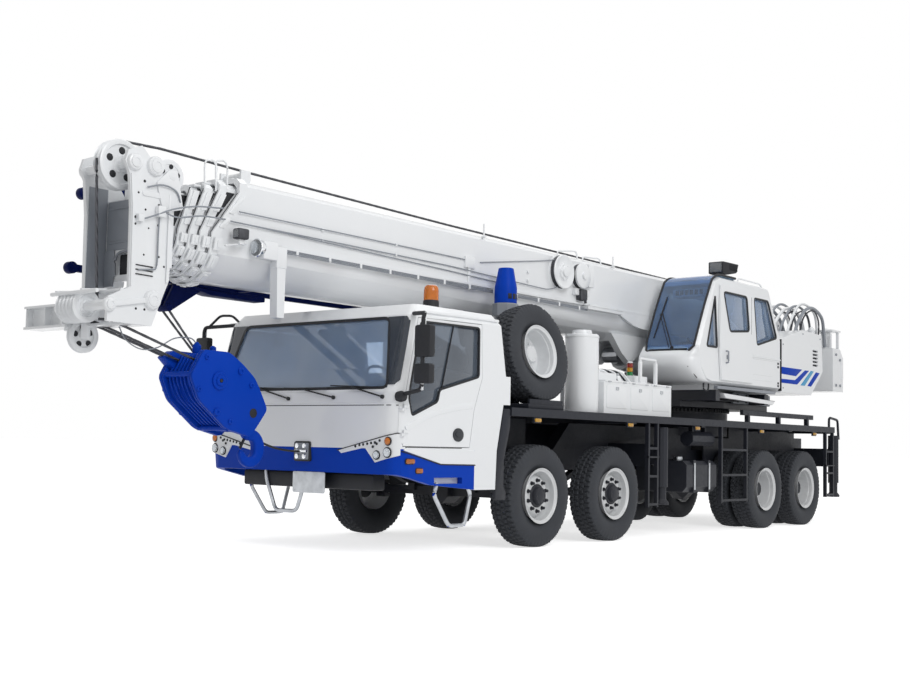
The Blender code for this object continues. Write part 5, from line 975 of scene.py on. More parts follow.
def grooved(radius, width, hub, depth=0.028):
    """One rope wheel's closed outline of (along, radius): rim with a round groove, thin web and hub."""
    h, web, bore = width / 2, 0.35, 0.02
    groove = [(h * 0.78 * math.sin(a), radius - depth * math.cos(a)) for a in np.linspace(-1.45, 1.45, 9)]
    return ([(-h, radius - 0.006), (-h * 0.85, radius)] + groove
            + [(h * 0.85, radius), (h, radius - 0.006), (h, radius - 0.045), (h * web, radius - 0.055),
               (h * web, hub + 0.012), (h, hub), (h, bore), (-h, bore), (-h, hub), (-h * web, hub + 0.012),
               (-h * web, radius - 0.055), (-h, radius - 0.045)])


class CRANE_OT_boom(bpy.types.Operator):
    """Builds the boom's pads, reels, cables, lamps and rope"""

    bl_idname = "crane.boom"
    bl_label = "Boom fittings"

    def execute(self, context):
        for body, top, low, grow, inner, top_end, low_end in COLLARS:
            pads, mouth_shade = Form(), Form()
            for first, last in ((6, 20), (27, 44), (51, 68), (75, 87)):
                pads.both(belly_block(low - 0.115, low - 0.02, first, last, grow - 0.018, 0.0, 0.022),
                          belly_block(low - 0.085, low - 0.05, first + 3, last - 3, grow - 0.018, 0.018,
                                      0.03, 0.003))
            for z in ((3.05, 3.15), (3.2, 3.38)):
                side = BOOM_HALF - grow + 0.018
                x = np.interp(z, (BOOM_LIP, BOOM_TOP - 0.13), (low, top))
                pad = [(x[0] - 0.095, z[0]), (x[0] - 0.03, z[0]), (x[1] - 0.03, z[1]), (x[1] - 0.095, z[1])]
                pads.both(plate(rounded(pad, 0.012), side - 0.002, side + 0.012, "y", 0.004))
            for y in (-0.22, 0.22):
                pads.add(block((top - 0.1, y - 0.07, BOOM_TOP - grow + 0.015),
                               (top - 0.02, y + 0.07, BOOM_TOP - grow + 0.035), 0.006))
            # Painted shade: a dark tube just inside the collar stands for the shadow in the raked mouth's gap
            y, z = belly(np.linspace(0, 180, 25), grow, -0.012)
            rise = [(top - 0.002, s * (BOOM_HALF - grow - 0.012), BOOM_TOP - 0.13) for s in (1, -1)]
            path = np.vstack([rise[:1], np.stack([np.full(25, low - 0.002), y, z], -1), rise[1:]])
            mouth_shade.add(tube(path, 0.006, 6))
            # Painted shade: dark plates between this collar and the next, wide at the top and closing towards
            # the belly
            side, high = BOOM_HALF - grow - 0.045, 3.41 - grow * 0.6
            shade_outline = [(top + 0.004, high), (top_end, high), (low_end, 3.03), (low + 0.004, 3.03)]
            shade = Form().both(plate(shade_outline, side - 0.004, side + 0.0035, "y", 0.001))
            shade.make(inner + "_shade", inner, "rubber")
            pads.make(body + "_pads", body, "white")
            mouth_shade.make(body + "_mouth_shade", body, "rubber")
        white, black, wire, chrome, lens, navy = (Form() for _ in range(6))
        # Cables, hoses and their clips on the left side
        for path in ([(3.6, 0.428, 3.232), (0.491, 0.414, 3.222), (0.186, 0.414, 3.219)],
                     [(-0.055, 0.414, 3.221), (-1.3, 0.416, 3.4), (-1.635, 0.44, 3.461)],
                     [(3.7, 0.428, 3.127), (0.488, 0.414, 3.112), (-1.406, 0.43, 3.048),
                      (-1.6, 0.44, 3.11)],
                     [(3.488, 0.426, 3.126), (0.486, 0.414, 3.055), (-0.444, 0.414, 3.025),
                      (-0.6, 0.414, 2.98)]):
            wire.add(pipe(path, 0.2, 0.0065, 8))
        for k in range(3):
            line = [(2.992, 0.424 + 0.004 * k, 2.95 - 0.016 * k), (0.493, 0.424, 2.926 - 0.014 * k),
                    (-2.293, 0.424, 2.902 - 0.012 * k)]
            wire.add(pipe(line, 0.3, 0.0065, 8))
        for x in np.arange(-2.1, 2.9, 0.45):
            z = np.interp(x, (-2.293, 0.493, 2.992), (2.89, 2.914, 2.936))
            white.add(block((x - 0.015, 0.412, z - 0.026), (x + 0.015, 0.436, z + 0.028), 0.003))
        white.add(block((0.05, 0.398, 3.13), (0.23, 0.428, 3.26), 0.006),
                  block((0.12, 0.398, 2.96), (0.16, 0.415, 3.14), 0.004))
        for x in (-1.0, 1.4, 2.5):
            for z in (3.225, 3.118):
                white.add(block((x - 0.014, 0.398, z - 0.016), (x + 0.014, 0.424, z + 0.016), 0.003))
        # Reels: flanges, dished face and a black winding
        for x, z, radius in ((-1.675, 3.305, 0.205), (-2.09, 3.3, 0.15)):
            r = radius + 0.012
            face = [(0.468, r - 0.01), (0.474, r), (0.486, r), (0.492, r - 0.008), (0.488, r - 0.03),
                    (0.478, r - 0.05), (0.476, 0.11), (0.498, 0.1), (0.5, 0.07), (0.52, 0.062),
                    (0.524, 0.03), (0.526, 0.004)]
            if radius < 0.2:
                face = [(0.468, r - 0.01), (0.474, r), (0.5, r), (0.508, r - 0.012), (0.506, 0.05),
                        (0.53, 0.045), (0.534, 0.004)]
            white.add(turned(face, (x, 0, z), "y", 56),
                      turned([(0.396, r - 0.01), (0.4, r), (0.412, r), (0.416, r - 0.01)], (x, 0, z), "y",
                             56))
            black.add(turned([(0.414, radius + 0.003), (0.424, radius + 0.006), (0.436, radius + 0.002),
                              (0.448, radius + 0.006), (0.46, radius + 0.002), (0.47, radius + 0.004)],
                             (x, 0, z), "y", 56))
            white.add(*[disc(at, 0.011, 0.49, 0.507, "y", 0.002, 8)
                        for at in spread(6, (x, 0, z), 0.425 * radius)])
        white.add(block((-2.34, 0.4, 3.17), (-2.22, 0.5, 3.47), 0.012),
                  block((-2.3, 0.4, 3.05), (-1.98, 0.45, 3.14), 0.01))
        black.add(block((-2.2, 0.4, 2.99), (-2.06, 0.49, 3.13), 0.012),
                  tube([(-2.13, 0.47, 3.12), (-2.2, 0.46, 2.96)], 0.018))
        white.add(pipe([(-1.779, 0.3, 3.53), (-1.779, 0.3, 3.6), (-2.204, 0.3, 3.652), (-2.235, 0.3, 3.53)],
                       0.05, 0.011),
                  pipe([(-2.35, 0.3, 3.53), (-2.36, 0.3, 3.6), (-2.772, 0.3, 3.625), (-2.8, 0.3, 3.53)],
                       0.05, 0.011))
        for x, high in ((-0.15, 3.69), (-2.96, 3.67)):
            white.add(tube([(x, 0.385, 3.43), (x, 0.385, high)], 0.01),
                      disc((x, 0.385, 0), 0.03, 3.535, 3.547, "z"))
        white.add(plate(rectangle(-2.24, 2.93, -3.061, 2.945), 0.4, 0.5, "y", 0.004))
        # Round lamp on its box, square lamp on its rod, and the leg's foot
        white.add(block((3.16, 0.4, 2.82), (3.335, 0.492, 2.995), 0.01))
        bowl = [(3.33, 0.03), (3.345, 0.07), (3.38, 0.086), (3.41, 0.09), (3.416, 0.086), (3.414, 0.078)]
        chrome.add(turned(bowl, (0, 0.462, 2.915), "x", 40))
        lens.add(turned([(3.405, 0.08), (3.418, 0.078), (3.428, 0.06), (3.434, 0.03), (3.436, 0.003)],
                        (0, 0.462, 2.915), "x", 40))
        black.add(block((3.575, 0.455, 2.958), (3.7, 0.555, 3.058), 0.016))
        lens.add(block((3.695, 0.468, 2.972), (3.706, 0.542, 3.044), 0.004, 0.012, "x"))
        white.add(tube([(3.819, 0.5, 2.876), (3.55, 0.475, 2.935), (3.491, 0.41, 2.955)], 0.01),
                  block((3.6, 0.485, 2.91), (3.66, 0.515, 2.97), 0.006),
                  block((3.015, 0.392, 2.76), (3.145, 0.467, 2.965), 0.008))
        # Tie bracket of the stowed jib under the collar
        tie = rounded([(3.733, 2.59), (3.367, 2.58), (3.77, 2.321), (3.841, 2.375)], 0.02)
        navy.add(plate(tie, -0.44, -0.4, "y", 0.005), plate(tie, -0.36, -0.32, "y", 0.005),
                 disc((3.8, 0, 2.35), 0.035, -0.46, -0.3, "y"),
                 plate(rounded([(3.733, 2.6), (3.367, 2.6), (2.6, 2.575), (2.6, 2.52), (3.3, 2.52)], 0.015),
                       -0.46, -0.3, "y", 0.006))
        for x, z in ((4.34, 3.43), (4.44, 2.7)):
            navy.add(disc((x + 0.035, 0, z), 0.058, -0.995, -0.915, "y", 0.006),
                     disc((x + 0.035, 0, z), 0.028, -1.0, -0.91, "y", 0.004))
        # Hoist rope along the top
        line = [(3.31, 0.12, 3.708), (0.2, 0.12, 3.652), (-4.96, 0.12, 3.603), (-6.4, 0.12, 3.585)]
        black.add(rope(line, HOIST_ROPE))
        white.make("boom_side_fittings", BOOM, "white")
        black.make("boom_rope_and_reels", BOOM, "rope")
        wire.make("boom_cables", BOOM, "grey")
        chrome.make("boom_lamp_bowl", BOOM, "chrome")
        lens.make("boom_lamp_lenses", BOOM, "clear")
        navy.make("jib_tie", BOOM, "navy")
        fall = Form().add(rope([(-6.4, 0.12, 3.585), (-6.95, 0.12, 3.46), (-7.35, 0.12, 3.36),
                                (-7.6, 0.12, 3.28), (-7.78, 0.12, 3.255)], HOIST_ROPE))
        piece = fall.make("winch_rope", None, "rope")
        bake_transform(piece)
        for body, x, z in (("boom_3", 3.97, 3.4), ("boom_2", 3.84, 3.42)):
            loop = [(x - 0.16, 0.33, z), (x - 0.16, 0.33, z + 0.24), (x - 0.12, 0.33, z + 0.29),
                    (x - 0.03, 0.33, z + 0.27), (x - 0.02, 0.33, z + 0.22), (x - 0.03, 0.33, z - 0.02)]
            Form().add(pipe(loop, 0.04, 0.009)).make(body + "_rope_guide", body, "white")
        return {"FINISHED"}


class CRANE_OT_head(bpy.types.Operator):
    """Builds the boom head's rope wheels, plates, bosses and ropes"""

    bl_idname = "crane.head"
    bl_label = "Boom head"

    def execute(self, context):
        white, black, grey, line = (Form() for _ in range(4))
        top, low = Form(), Form()
        for y in (0.0925, 0.1475):
            top.add(turned(grooved(0.225, 0.052, 0.07), TOP_WHEELS, "y", 64) + (0, y, 0), loop=True)
        for y in (-0.21, -0.155, -0.1, -0.045, 0.01):
            low.add(turned(grooved(0.143, 0.052, 0.05), BOTTOM_WHEELS, "y", 56) + (0, y, 0), loop=True)
        # Painted shade: dark discs stand for the top wheels' lightening holes
        black.add(*[disc(at, 0.034, 0.08, 0.159, "y", 0.003, 24)
                    for at in spread(5, TOP_WHEELS, 0.125, 0.12 * math.pi)])
        piece = top.make("top_rope_wheels", TIP, "white", "steel")
        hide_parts("head_sheaves_top")
        piece = low.make("bottom_rope_wheels", TIP, "white", "steel")
        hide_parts("head_sheaves_bottom")
        # Bosses, caps and bolts of the near and far plates
        for x, z, r in ((4.52, 3.5, 0.088), (4.5, 2.31, 0.086), (4.74, 3.5, 0.075), (4.94, 2.23, 0.062)):
            boss = [(0.345, r), (0.372, r), (0.384, r - 0.008), (0.388, r * 0.72), (0.398, r * 0.68),
                    (0.402, r * 0.4), (0.396, r * 0.36), (0.396, 0.004)]
            white.both(turned(np.array(boss), (x, 0, z), "y", 36))
        rib = rounded(rectangle(4.42, 3.22, 4.64, 3.27), 0.02)
        white.both(plate(rib, 0.345, 0.362, "y", 0.004))
        lip = [(4.772, 3.395), (4.745, 3.1), (4.735, 2.41), (4.72, 2.41), (4.73, 3.1), (4.755, 3.4)]
        white.both(plate(lip, 0.34, 0.368, "y", 0.004),
                   bar((4.52, 0.362, 2.31), (4.92, 0.362, 2.235), 0.03, 0.045))
        for y in (0.358, -0.358):
            white.add(bar((4.35, y, 2.48), (4.35, y, 3.27), 0.02, 0.03))
        # Guide wheel and its bracket on the near side
        white.add(turned(grooved(0.152, 0.066, 0.05, 0.022), (4.33, 0.2925, 3.45), "y", 48), loop=True)
        # Painted shade: dark discs stand for the guide wheel's holes
        black.add(*[disc(at, 0.022, 0.3, 0.3275, "y", 0.002, 16)
                    for at in spread(5, (4.33, 0, 3.45), 0.088, 0.4)])
        white.add(disc((4.33, 0, 3.45), 0.045, 0.3, 0.368, "y"),
                  plate(rounded([(4.2, 3.16), (4.42, 3.1), (4.5, 3.36), (4.36, 3.5), (4.28, 3.5)], 0.02),
                        0.352, 0.366, "y", 0.004))
        # Small fittings: sockets and clips, and holes drawn as dark discs, painted shade
        for x, z, r in ((4.7, 3.02, 0.014), (4.7, 2.96, 0.01), (4.6, 3.1, 0.01), (4.46, 3.16, 0.012),
                        (4.46, 2.98, 0.01), (4.6, 2.7, 0.009), (4.56, 2.94, 0.008), (4.44, 2.7, 0.01),
                        (4.62, 3.35, 0.013), (4.68, 3.24, 0.01), (4.38, 2.62, 0.01), (4.66, 2.22, 0.011),
                        (4.57, 2.22, 0.011)):
            black.add(disc((x, 0, z), r, 0.345, 0.3525, "y", 0.001, 14))
        for z in (2.6, 2.56, 2.52):
            black.add(bar((4.5, 0.353, z), (4.68, 0.353, z + 0.004), 0.012, 0.01))
        white.add(block((4.64, 0.35, 2.98), (4.7, 0.4, 3.05), 0.008),
                  block((4.42, 0.35, 3.05), (4.5, 0.41, 3.15), 0.01))
        for path in ([(4.46, 0.37, 3.12), (4.47, 0.372, 2.9), (4.47, 0.366, 2.62), (4.52, 0.362, 2.58),
                      (4.66, 0.36, 2.56)],
                     [(4.66, 0.38, 3.0), (4.52, 0.4, 3.06), (4.34, 0.42, 3.14), (4.1, 0.43, 3.2),
                      (3.8, 0.44, 3.23)],
                     [(4.44, 0.4, 3.1), (4.3, 0.42, 3.07), (4.05, 0.44, 3.12), (3.78, 0.445, 3.13)],
                     [(4.6, 0.37, 3.3), (4.45, 0.39, 3.34), (4.3, 0.38, 3.31), (4.24, 0.37, 3.22)]):
            grey.add(hose(path, 0.0075))
        # Recessed front wall, the plates' inner faces and the arched hole's rim, in grey: painted shade on
        # white plate work
        wall = rounded(rectangle(-0.3, 2.79, 0.3, 3.24), 0.02)
        grey.add(plate(wall, 4.529, 4.537, "x", 0.003),
                 block((4.535, -0.316, 2.42), (4.735, -0.308, 3.36), 0.003),
                 block((4.536, 0.308, 2.42), (4.735, 0.316, 3.36), 0.003),
                 block((4.535, -0.31, 2.46), (4.545, -0.17, 2.79), 0.003),
                 block((4.535, 0.17, 2.46), (4.545, 0.31, 2.79), 0.003))
        for z in (2.86, 3.17):
            grey.add(block((4.536, -0.27, z - 0.008), (4.546, 0.27, z + 0.008), 0.003))
        arch = [(0, -0.165, 2.55), (0, -0.165, 2.7), (0, -0.1, 2.765), (0, 0.1, 2.765), (0, 0.165, 2.7),
                (0, 0.165, 2.55)]
        grey.add(tube(smooth_path(np.array(arch) + (4.532, 0, 0), 5), 0.012))
        # Painted shade: a dark block fills the arched hole
        black.add(block((4.46, -0.155, 2.56), (4.49, 0.155, 2.755), 0.01))
        # Rope down the face, and rope keepers over the bottom wheels
        line.add(rope([(4.963, 0.12, 3.52), (4.958, 0.118, 3.44), (4.83, 0.01, 2.36), (4.806, 0.005, 2.24)],
                      HOIST_ROPE))
        for y in (-0.19, -0.1, 0.16):
            line.add(rope([(3.72, y * 0.9, 1.8), (4.78, y, 2.12), (4.9, y, 2.115)], HOIST_ROPE))
        line.add(rope([(3.31, 0.12, 3.708), (4.3, 0.12, 3.735), (4.7, 0.12, 3.722), (4.78, 0.12, 3.715)],
                      HOIST_ROPE))
        for y in (-0.43, -0.33):
            line.add(rope([(3.8, y, 2.34), (3.55, y * 0.45, 1.9)], 0.012))
        for x, z in ((4.8, 2.37), (5.05, 2.34)):
            white.add(tube([(x, -0.34, z), (x, 0.34, z)], 0.018))
        white.add(bar((4.79, -0.28, 2.39), (5.05, -0.28, 2.36), 0.024, 0.02),
                  bar((4.79, 0.1, 2.39), (5.05, 0.1, 2.36), 0.024, 0.02))
        # Side arm's end plates, gussets, pivot tube and the wheel under it
        for y in (-1.02, -0.72, -0.46):
            white.add(plate(rounded(rectangle(4.72, 2.09, 4.88, 2.27), 0.006), y, y + 0.012, "y", 0.002))
        white.add(turned([(2.04, 0.03), (2.045, 0.052), (2.31, 0.052), (2.325, 0.044), (2.33, 0.004)],
                         (4.8, -0.42, 0), "z", 28))
        white.add(turned(grooved(0.15, 0.05, 0.045, 0.022), (4.8, UNDER_WHEEL, 1.99), "y", 48), loop=True)
        # Painted shade: dark discs stand for the under wheel's holes
        black.add(*[disc(at, 0.027, UNDER_WHEEL - 0.012, UNDER_WHEEL + 0.012, "y", 0.002, 16)
                    for at in spread(5, (4.8, 0, 1.99), 0.082, 0.2)])
        hanger = rounded([(4.76, 2.38), (4.84, 2.38), (4.85, 1.96), (4.75, 1.96)], 0.02)
        for y in (UNDER_WHEEL + 0.036, UNDER_WHEEL - 0.046):
            white.add(plate(hanger, y, y + 0.01, "y", 0.003))
        white.make("head_fittings", TIP, "white")
        black.make("head_fittings_and_hole_shade", TIP, "rubber")
        grey.make("head_hoses_and_wall_shade", TIP, "grey")
        line.make("head_ropes", TIP, "rope")
        return {"FINISHED"}


class CRANE_OT_hook(bpy.types.Operator):
    """Builds the hook block with its cheeks, rope wheels, ribs and hook"""

    bl_idname = "crane.hook"
    bl_label = "Hook block"

    def execute(self, context):
        blue, dark, line = Form(), Form(), Form()
        outline = rounded(HOOK_OUTLINE, 0.045, 4)
        blue.both(plate(outline, 0.205, 0.25, "y", 0.01))
        for x, z, r, high in ((3.622, 1.648, 0.085, 0.27), (3.622, 1.648, 0.05, 0.285),
                              (3.645, 1.356, 0.034, 0.272), (3.365, 1.753, 0.034, 0.268),
                              (3.228, 1.624, 0.026, 0.266), (3.475, 1.27, 0.026, 0.266),
                              (3.78, 1.86, 0.024, 0.266), (3.86, 1.56, 0.024, 0.266)):
            blue.both(turned([(0.245, r), (high - 0.006, r), (high, r - 0.006), (high, r * 0.45),
                              (high - 0.008, r * 0.38), (high - 0.008, 0.003)], (x, 0, z), "y", 28))
        dark.both(disc((3.191, 0, 1.359), 0.046, 0.247, 0.2525, "y", 0.001, 24),
                  disc((3.622, 0, 1.648), 0.016, 0.278, 0.2865, "y", 0.001, 16))
        core = [(3.78, 1.85), (3.5, 1.85), (3.34, 1.75), (3.2, 1.61), (3.1, 1.4), (3.22, 1.22), (3.5, 1.27),
                (3.78, 1.5), (3.88, 1.68)]
        blue.add(plate(rounded(core, 0.04), -0.23, 0.23, "y", 0.01))
        for k in range(8):
            y = -0.19 + 0.38 * k / 7
            guard = rounded(HOOK_OUTLINE, 0.06, 4) if k in (0, 7) else rounded(inset(HOOK_OUTLINE, 0.028),
                                                                               0.07, 5)
            blue.add(plate(guard, y - 0.01, y + 0.01, "y", 0.004))
        for k in range(5):
            y = -0.164 + 0.082 * k
            blue.add(turned(grooved(0.262, 0.05, 0.06), (3.622, y, 1.648), "y", 64), loop=True)
        # Bolted tie bars between the cheeks
        for x, z in ((3.365, 1.8), (3.08, 1.345), (3.475, 1.21), (3.905, 1.7)):
            blue.add(tube([(x, -0.215, z), (x, 0.215, z)], 0.026, 16))
        # Hook: the section swells from the shank to the back and tapers to the tip
        angle = np.radians(75 + np.linspace(0, 280, 40))
        arc = np.stack([3.02 + 0.11 * np.cos(angle), 0 * angle, 1.02 + 0.135 * np.sin(angle)], -1)
        shank = np.array([(3.24, 0, 1.34), (3.16, 0, 1.27), (3.09, 0, 1.2)])
        path = smooth_path(np.vstack([shank, arc[::4], arc[-1:]]), 6)
        run = np.linspace(0, 1, len(path))
        size = np.interp(run, (0, 0.2, 0.5, 0.75, 0.95, 1.0), (0.05, 0.052, 0.064, 0.056, 0.034, 0.012))
        section = rounded([(-0.9, -0.8), (0.9, -0.8), (1.0, 0.9), (-1.0, 0.9)], 0.6, 5)
        blue.add(carried(path, section, scale=size, up=(0, 1, 0)),
                 turned([(-0.09, 0.05), (-0.08, 0.07), (0.08, 0.07), (0.09, 0.05)], (3.2, 0, 1.29), "y",
                        28))
        dark.add(bar((3.06, 0.0, 1.145), (3.13, 0.0, 1.02), 0.03, 0.01, up=(0, 1, 0)))
        # Top fitting with its signal wire, and lugs on the front
        blue.add(plate(rounded([(3.98, 1.86), (3.86, 1.93), (3.7, 1.8), (3.78, 1.68)], 0.02), -0.24, -0.12,
                       "y", 0.01),
                 turned([(1.9, 0.03), (1.93, 0.042), (1.985, 0.042), (2.0, 0.03), (2.02, 0.012)],
                        (3.66, -0.05, 0), "z", 20),
                 turned([(1.9, 0.02), (1.94, 0.03), (1.97, 0.03), (1.985, 0.01)], (3.57, 0.08, 0), "z", 16))
        wire = [(3.66, -0.05, 2.0), (3.75, -0.04, 2.05), (3.95, -0.02, 2.03), (4.15, 0.0, 1.93),
                (4.35, 0.02, 1.9), (4.52, 0.03, 1.97), (4.6, 0.03, 2.085)]
        line.add(hose(wire, 0.006))
        tie = [(3.03, 0.0, 1.155), (2.92, 0.015, 1.1), (2.74, 0.045, 1.035), (2.56, 0.075, 1.005),
               (2.43, 0.1, 1.0)]
        dark.add(hose(tie, 0.011))
        piece = blue.make("hook_block_cheeks", TIP, "blue")
        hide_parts("hook_block")
        dark.make("hook_block_pins", TIP, "rubber")
        line.make("hook_signal_wire", TIP, "grey")
        return {"FINISHED"}


# Operator's cab and rear

UPPER = "superstructure"
# The slewing ring's middle and teeth, the winch's axle and the height of the operator's floor
SLEW_CENTRE, RING_TEETH, WINCH, UPPER_FLOOR = (-5.15, 0, 0), 96, (-7.82, 0, 3.02), 2.0403
OP_FRONT = ((-3.505, 2.425), (-3.535, 2.475), (-3.795, 3.01), (-4.0, 3.375), (-4.06, 3.44), (-4.15, 3.485),
            (-4.26, 3.501), (-4.45, 3.503), (-4.78, 3.503))
OP_DOOR_WINDOW = ((-4.4, 2.74), (-4.21, 3.27), (-4.9, 3.27), (-4.98, 2.79))
OP_REAR_WINDOW = ((-5.3, 2.62), (-5.2, 3.29), (-5.66, 3.29), (-5.95, 2.77))
OP_QUARTER = ((-3.8, 2.5), (-4.02, 3.2), (-4.08, 2.5))


def op_front(low, high, out, corner=0.09, path=OP_FRONT):
    """The front skin of the operator's cab from one Y to another: stations down its profile, each with an
    inner and an outer point on both sides; the corners are drawn in as a circle's sagitta."""
    line = np.asarray(path, float)
    line = smooth_path(np.insert(line, 1, 0, axis=1), 5)[:, [0, 2]]
    ahead = np.gradient(line, axis=0)
    normal = np.stack([-ahead[:, 1], ahead[:, 0]], -1)
    normal /= np.linalg.norm(normal, axis=1, keepdims=True)
    normal *= np.where(normal[:, :1] + normal[:, 1:] < 0, -1, 1)
    run = np.concatenate([[0], np.cumsum(np.linalg.norm(np.diff(line, axis=0), axis=1))])
    near = np.clip(1 - np.minimum(run, run[-1] - run) / corner, 0, 1)
    draw = corner * (1 - np.sqrt(1 - near**2))
    outer, inner = line + normal * out, line + normal * (out - 0.006)
    rows = [(outer, low + draw), (outer, high - draw), (inner, high - draw), (inner, low + draw)]
    return np.stack([np.stack([p[:, 0], y, p[:, 1]], -1) for p, y in rows], 1)


class CRANE_OT_operator_cab(bpy.types.Operator):
    """Builds the operator's cab's curved glass, seals, wiper, lamp, rails and seat"""

    bl_idname = "crane.operator_cab"
    bl_label = "Operator's cab"

    def execute(self, context):
        glass, dark, black, white, lens = (Form() for _ in range(5))
        sheet = op_front(0.565, 1.305, 0.014)
        glass.add(sheet)
        roof = [row for row in OP_FRONT if row[1] > 3.36]
        # Painted reflection: a pale blue matt sheet under the roof glass stands for the sky it reflects
        blind = Form().add(op_front(0.575, 1.295, 0.006, 0.06, roof[1:]))
        blind.make("operator_roof_blind", UPPER, "blind")
        # Nose: the lower front is drawn back towards its outer side in a smooth curve
        line = np.array([(-3.93, 0, 1.998), (-3.62, 0, 2.028), (-3.44, 0, 2.19), (-3.428, 0, 2.34),
                         (-3.522, 0, 2.462), (-3.57, 0, 2.545)])
        line = smooth_path(line, 6)[:, [0, 2]]
        y = np.linspace(0.525, 1.352, 34)[:, None]
        back = np.interp(y, (1.05, 1.11, 1.17, 1.23, 1.28, 1.315, 1.34, 1.352),
                         (0, 0.004, 0.016, 0.036, 0.062, 0.098, 0.145, 0.19))
        post = np.interp(y, (1.11, 1.28, 1.352), (0.0, 0.004, 0.034))
        share = np.clip((line[:, 1] - 2.34) / 0.12, 0, 1)
        x = line[:, 0] + 0.005 - back * (1 - share) - post * share
        rows = np.stack([x, np.broadcast_to(y, x.shape), np.broadcast_to(line[:, 1], x.shape)], -1)
        keep = rows.copy()
        keep[..., 0] -= 0.02
        cut = line[:, 1] < 2.5
        white.add(np.concatenate([rows[:, cut], keep[:, cut][:, ::-1]], 1))
        rim = np.vstack([sheet[:, 0], sheet[::-1, 1]])
        black.add(tube(rim[::2], 0.016, 8), tube([rim[0], rim[-1]], 0.016, 8),
                  tube([sheet[-1, 0], sheet[-1, 1]], 0.016, 8))
        piece = glass.make("operator_glass", UPPER, "glass")
        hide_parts("operator_windscreen")
        # Wiper: a knob and two arms that carry the blade
        black.add(disc((0, 0.98, 2.46), 0.026, -3.55, -3.5, "x"))
        tip = (-3.745, 0.7, 2.96)
        black.add(bar((-3.51, 0.98, 2.46), tip, 0.016, 0.012, up=(1, 0, 0.5)),
                  bar((-3.515, 0.93, 2.47), (-3.745, 0.66, 2.96), 0.01, 0.01, up=(1, 0, 0.5)),
                  bar((-3.575, 0.665, 2.61), (-3.865, 0.705, 3.2), 0.018, 0.014, up=(1, 0, 0.5)))
        # Quarter window and rear window with their seals
        for outline, y in ((OP_QUARTER, 1.351), (OP_REAR_WINDOW, 1.342)):
            shape = rounded(outline, 0.05 if outline is OP_REAR_WINDOW else 0.03, 5)
            dark.add(plate(inset(shape, -0.012), y - 0.045, y - 0.039, "y", 0.002))
            black.add(band(on_side(shape, y), 0.03, 0.01, (0, 1, 0)), loop=True)
        # White sill under the cab
        sill = rounded([(-4.4, 1.895), (-4.46, 1.825), (-5.94, 1.785), (-6.02, 1.845)], 0.01)
        white.add(plate(sill, 1.2, 1.292, "y", 0.006))
        # Roof rail, step hook, lower ribs and vents
        rail = [(-4.9, 1.24, 3.485), (-4.92, 1.24, 3.55), (-5.6, 1.24, 3.545), (-5.72, 1.24, 3.46),
                (-6.02, 1.25, 2.9)]
        white.add(pipe(rail, 0.05, 0.011), bar((-5.17, 1.345, 2.47), (-5.95, 1.345, 2.47), 0.018, 0.018),
                  bar((-5.17, 1.345, 2.425), (-5.95, 1.345, 2.425), 0.016, 0.016))
        for z in (2.12, 2.2):
            white.add(bar((-5.16, 1.347, z), (-5.8, 1.347, z), 0.012, 0.012))
        for z in (2.38, 2.33, 2.09, 2.05):
            black.add(block((-6.015, 1.345, z), (-5.965, 1.354, z + 0.032), 0.003))
        black.add(pipe([(-3.84, 1.28, 2.01), (-3.84, 1.28, 1.92), (-3.92, 1.28, 1.9), (-3.98, 1.28, 1.92),
                        (-3.98, 1.28, 2.01)], 0.03, 0.011),
                  tube([(-3.62, 1.3, 2.06), (-3.47, 1.24, 2.21)], 0.006))
        # Work lamp on the roof
        wedge = rounded([(-4.795, 3.625), (-4.795, 3.797), (-5.285, 3.806), (-5.226, 3.672),
                         (-4.97, 3.622)], 0.02)
        black.add(plate(wedge, 0.834, 1.066, "y", 0.01))
        for k in range(7):
            x = -5.02 - 0.035 * k
            black.add(block((x, 0.826, 3.69), (x + 0.014, 1.074, 3.79), 0.004))
        lens.add(block((-4.802, 0.856, 3.645), (-4.788, 1.044, 3.78), 0.004, 0.02, "x"))
        black.add(tube([(-4.93, 0.95, 3.49), (-4.93, 0.95, 3.66)], 0.02),
                  disc((-4.93, 0.95, 0), 0.055, 3.49, 3.51, "z"))
        # Fan and visor box behind the glass
        white.add(block((-4.36, 0.64, 3.22), (-4.12, 1.18, 3.34), 0.02))
        for k in range(6):
            black.add(block((-4.118, 0.69 + 0.075 * k, 3.245), (-4.112, 0.74 + 0.075 * k, 3.315), 0.002))
        black.make("operator_cab_trim", UPPER, "rubber", "interior")
        dark.make("operator_side_glass", UPPER, "pale")
        white.make("operator_cab_rails", UPPER, "white")
        lens.make("work_lamp_lens", UPPER, "clear")
        # Sliding door: glass, seal and handle
        door = NODES["operator_cab_door"]["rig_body"]
        window = rounded(OP_DOOR_WINDOW, 0.06, 5)
        pane, seal, handle = Form(), Form(), Form()
        pane.add(plate(inset(window, -0.01), 1.362, 1.368, "y", 0.002))
        seal.add(band(on_side(window, 1.384), 0.03, 0.008, (0, 1, 0)), loop=True)
        seal.add(bar((-5.05, 1.38, 2.75), (-5.05, 1.38, 3.28), 0.01, 0.014))
        handle.add(pipe([(-4.28, 1.384, 2.46), (-4.28, 1.425, 2.46), (-4.28, 1.425, 2.3),
                         (-4.28, 1.384, 2.3)], 0.02, 0.011),
                   block((-4.34, 1.383, 2.35), (-4.3, 1.392, 2.41), 0.003))
        pane.make("operator_door_glass", door, "pale")
        seal.make("operator_door_seal", door, "rubber", "interior")
        handle.make("operator_door_handle", door, "grey")
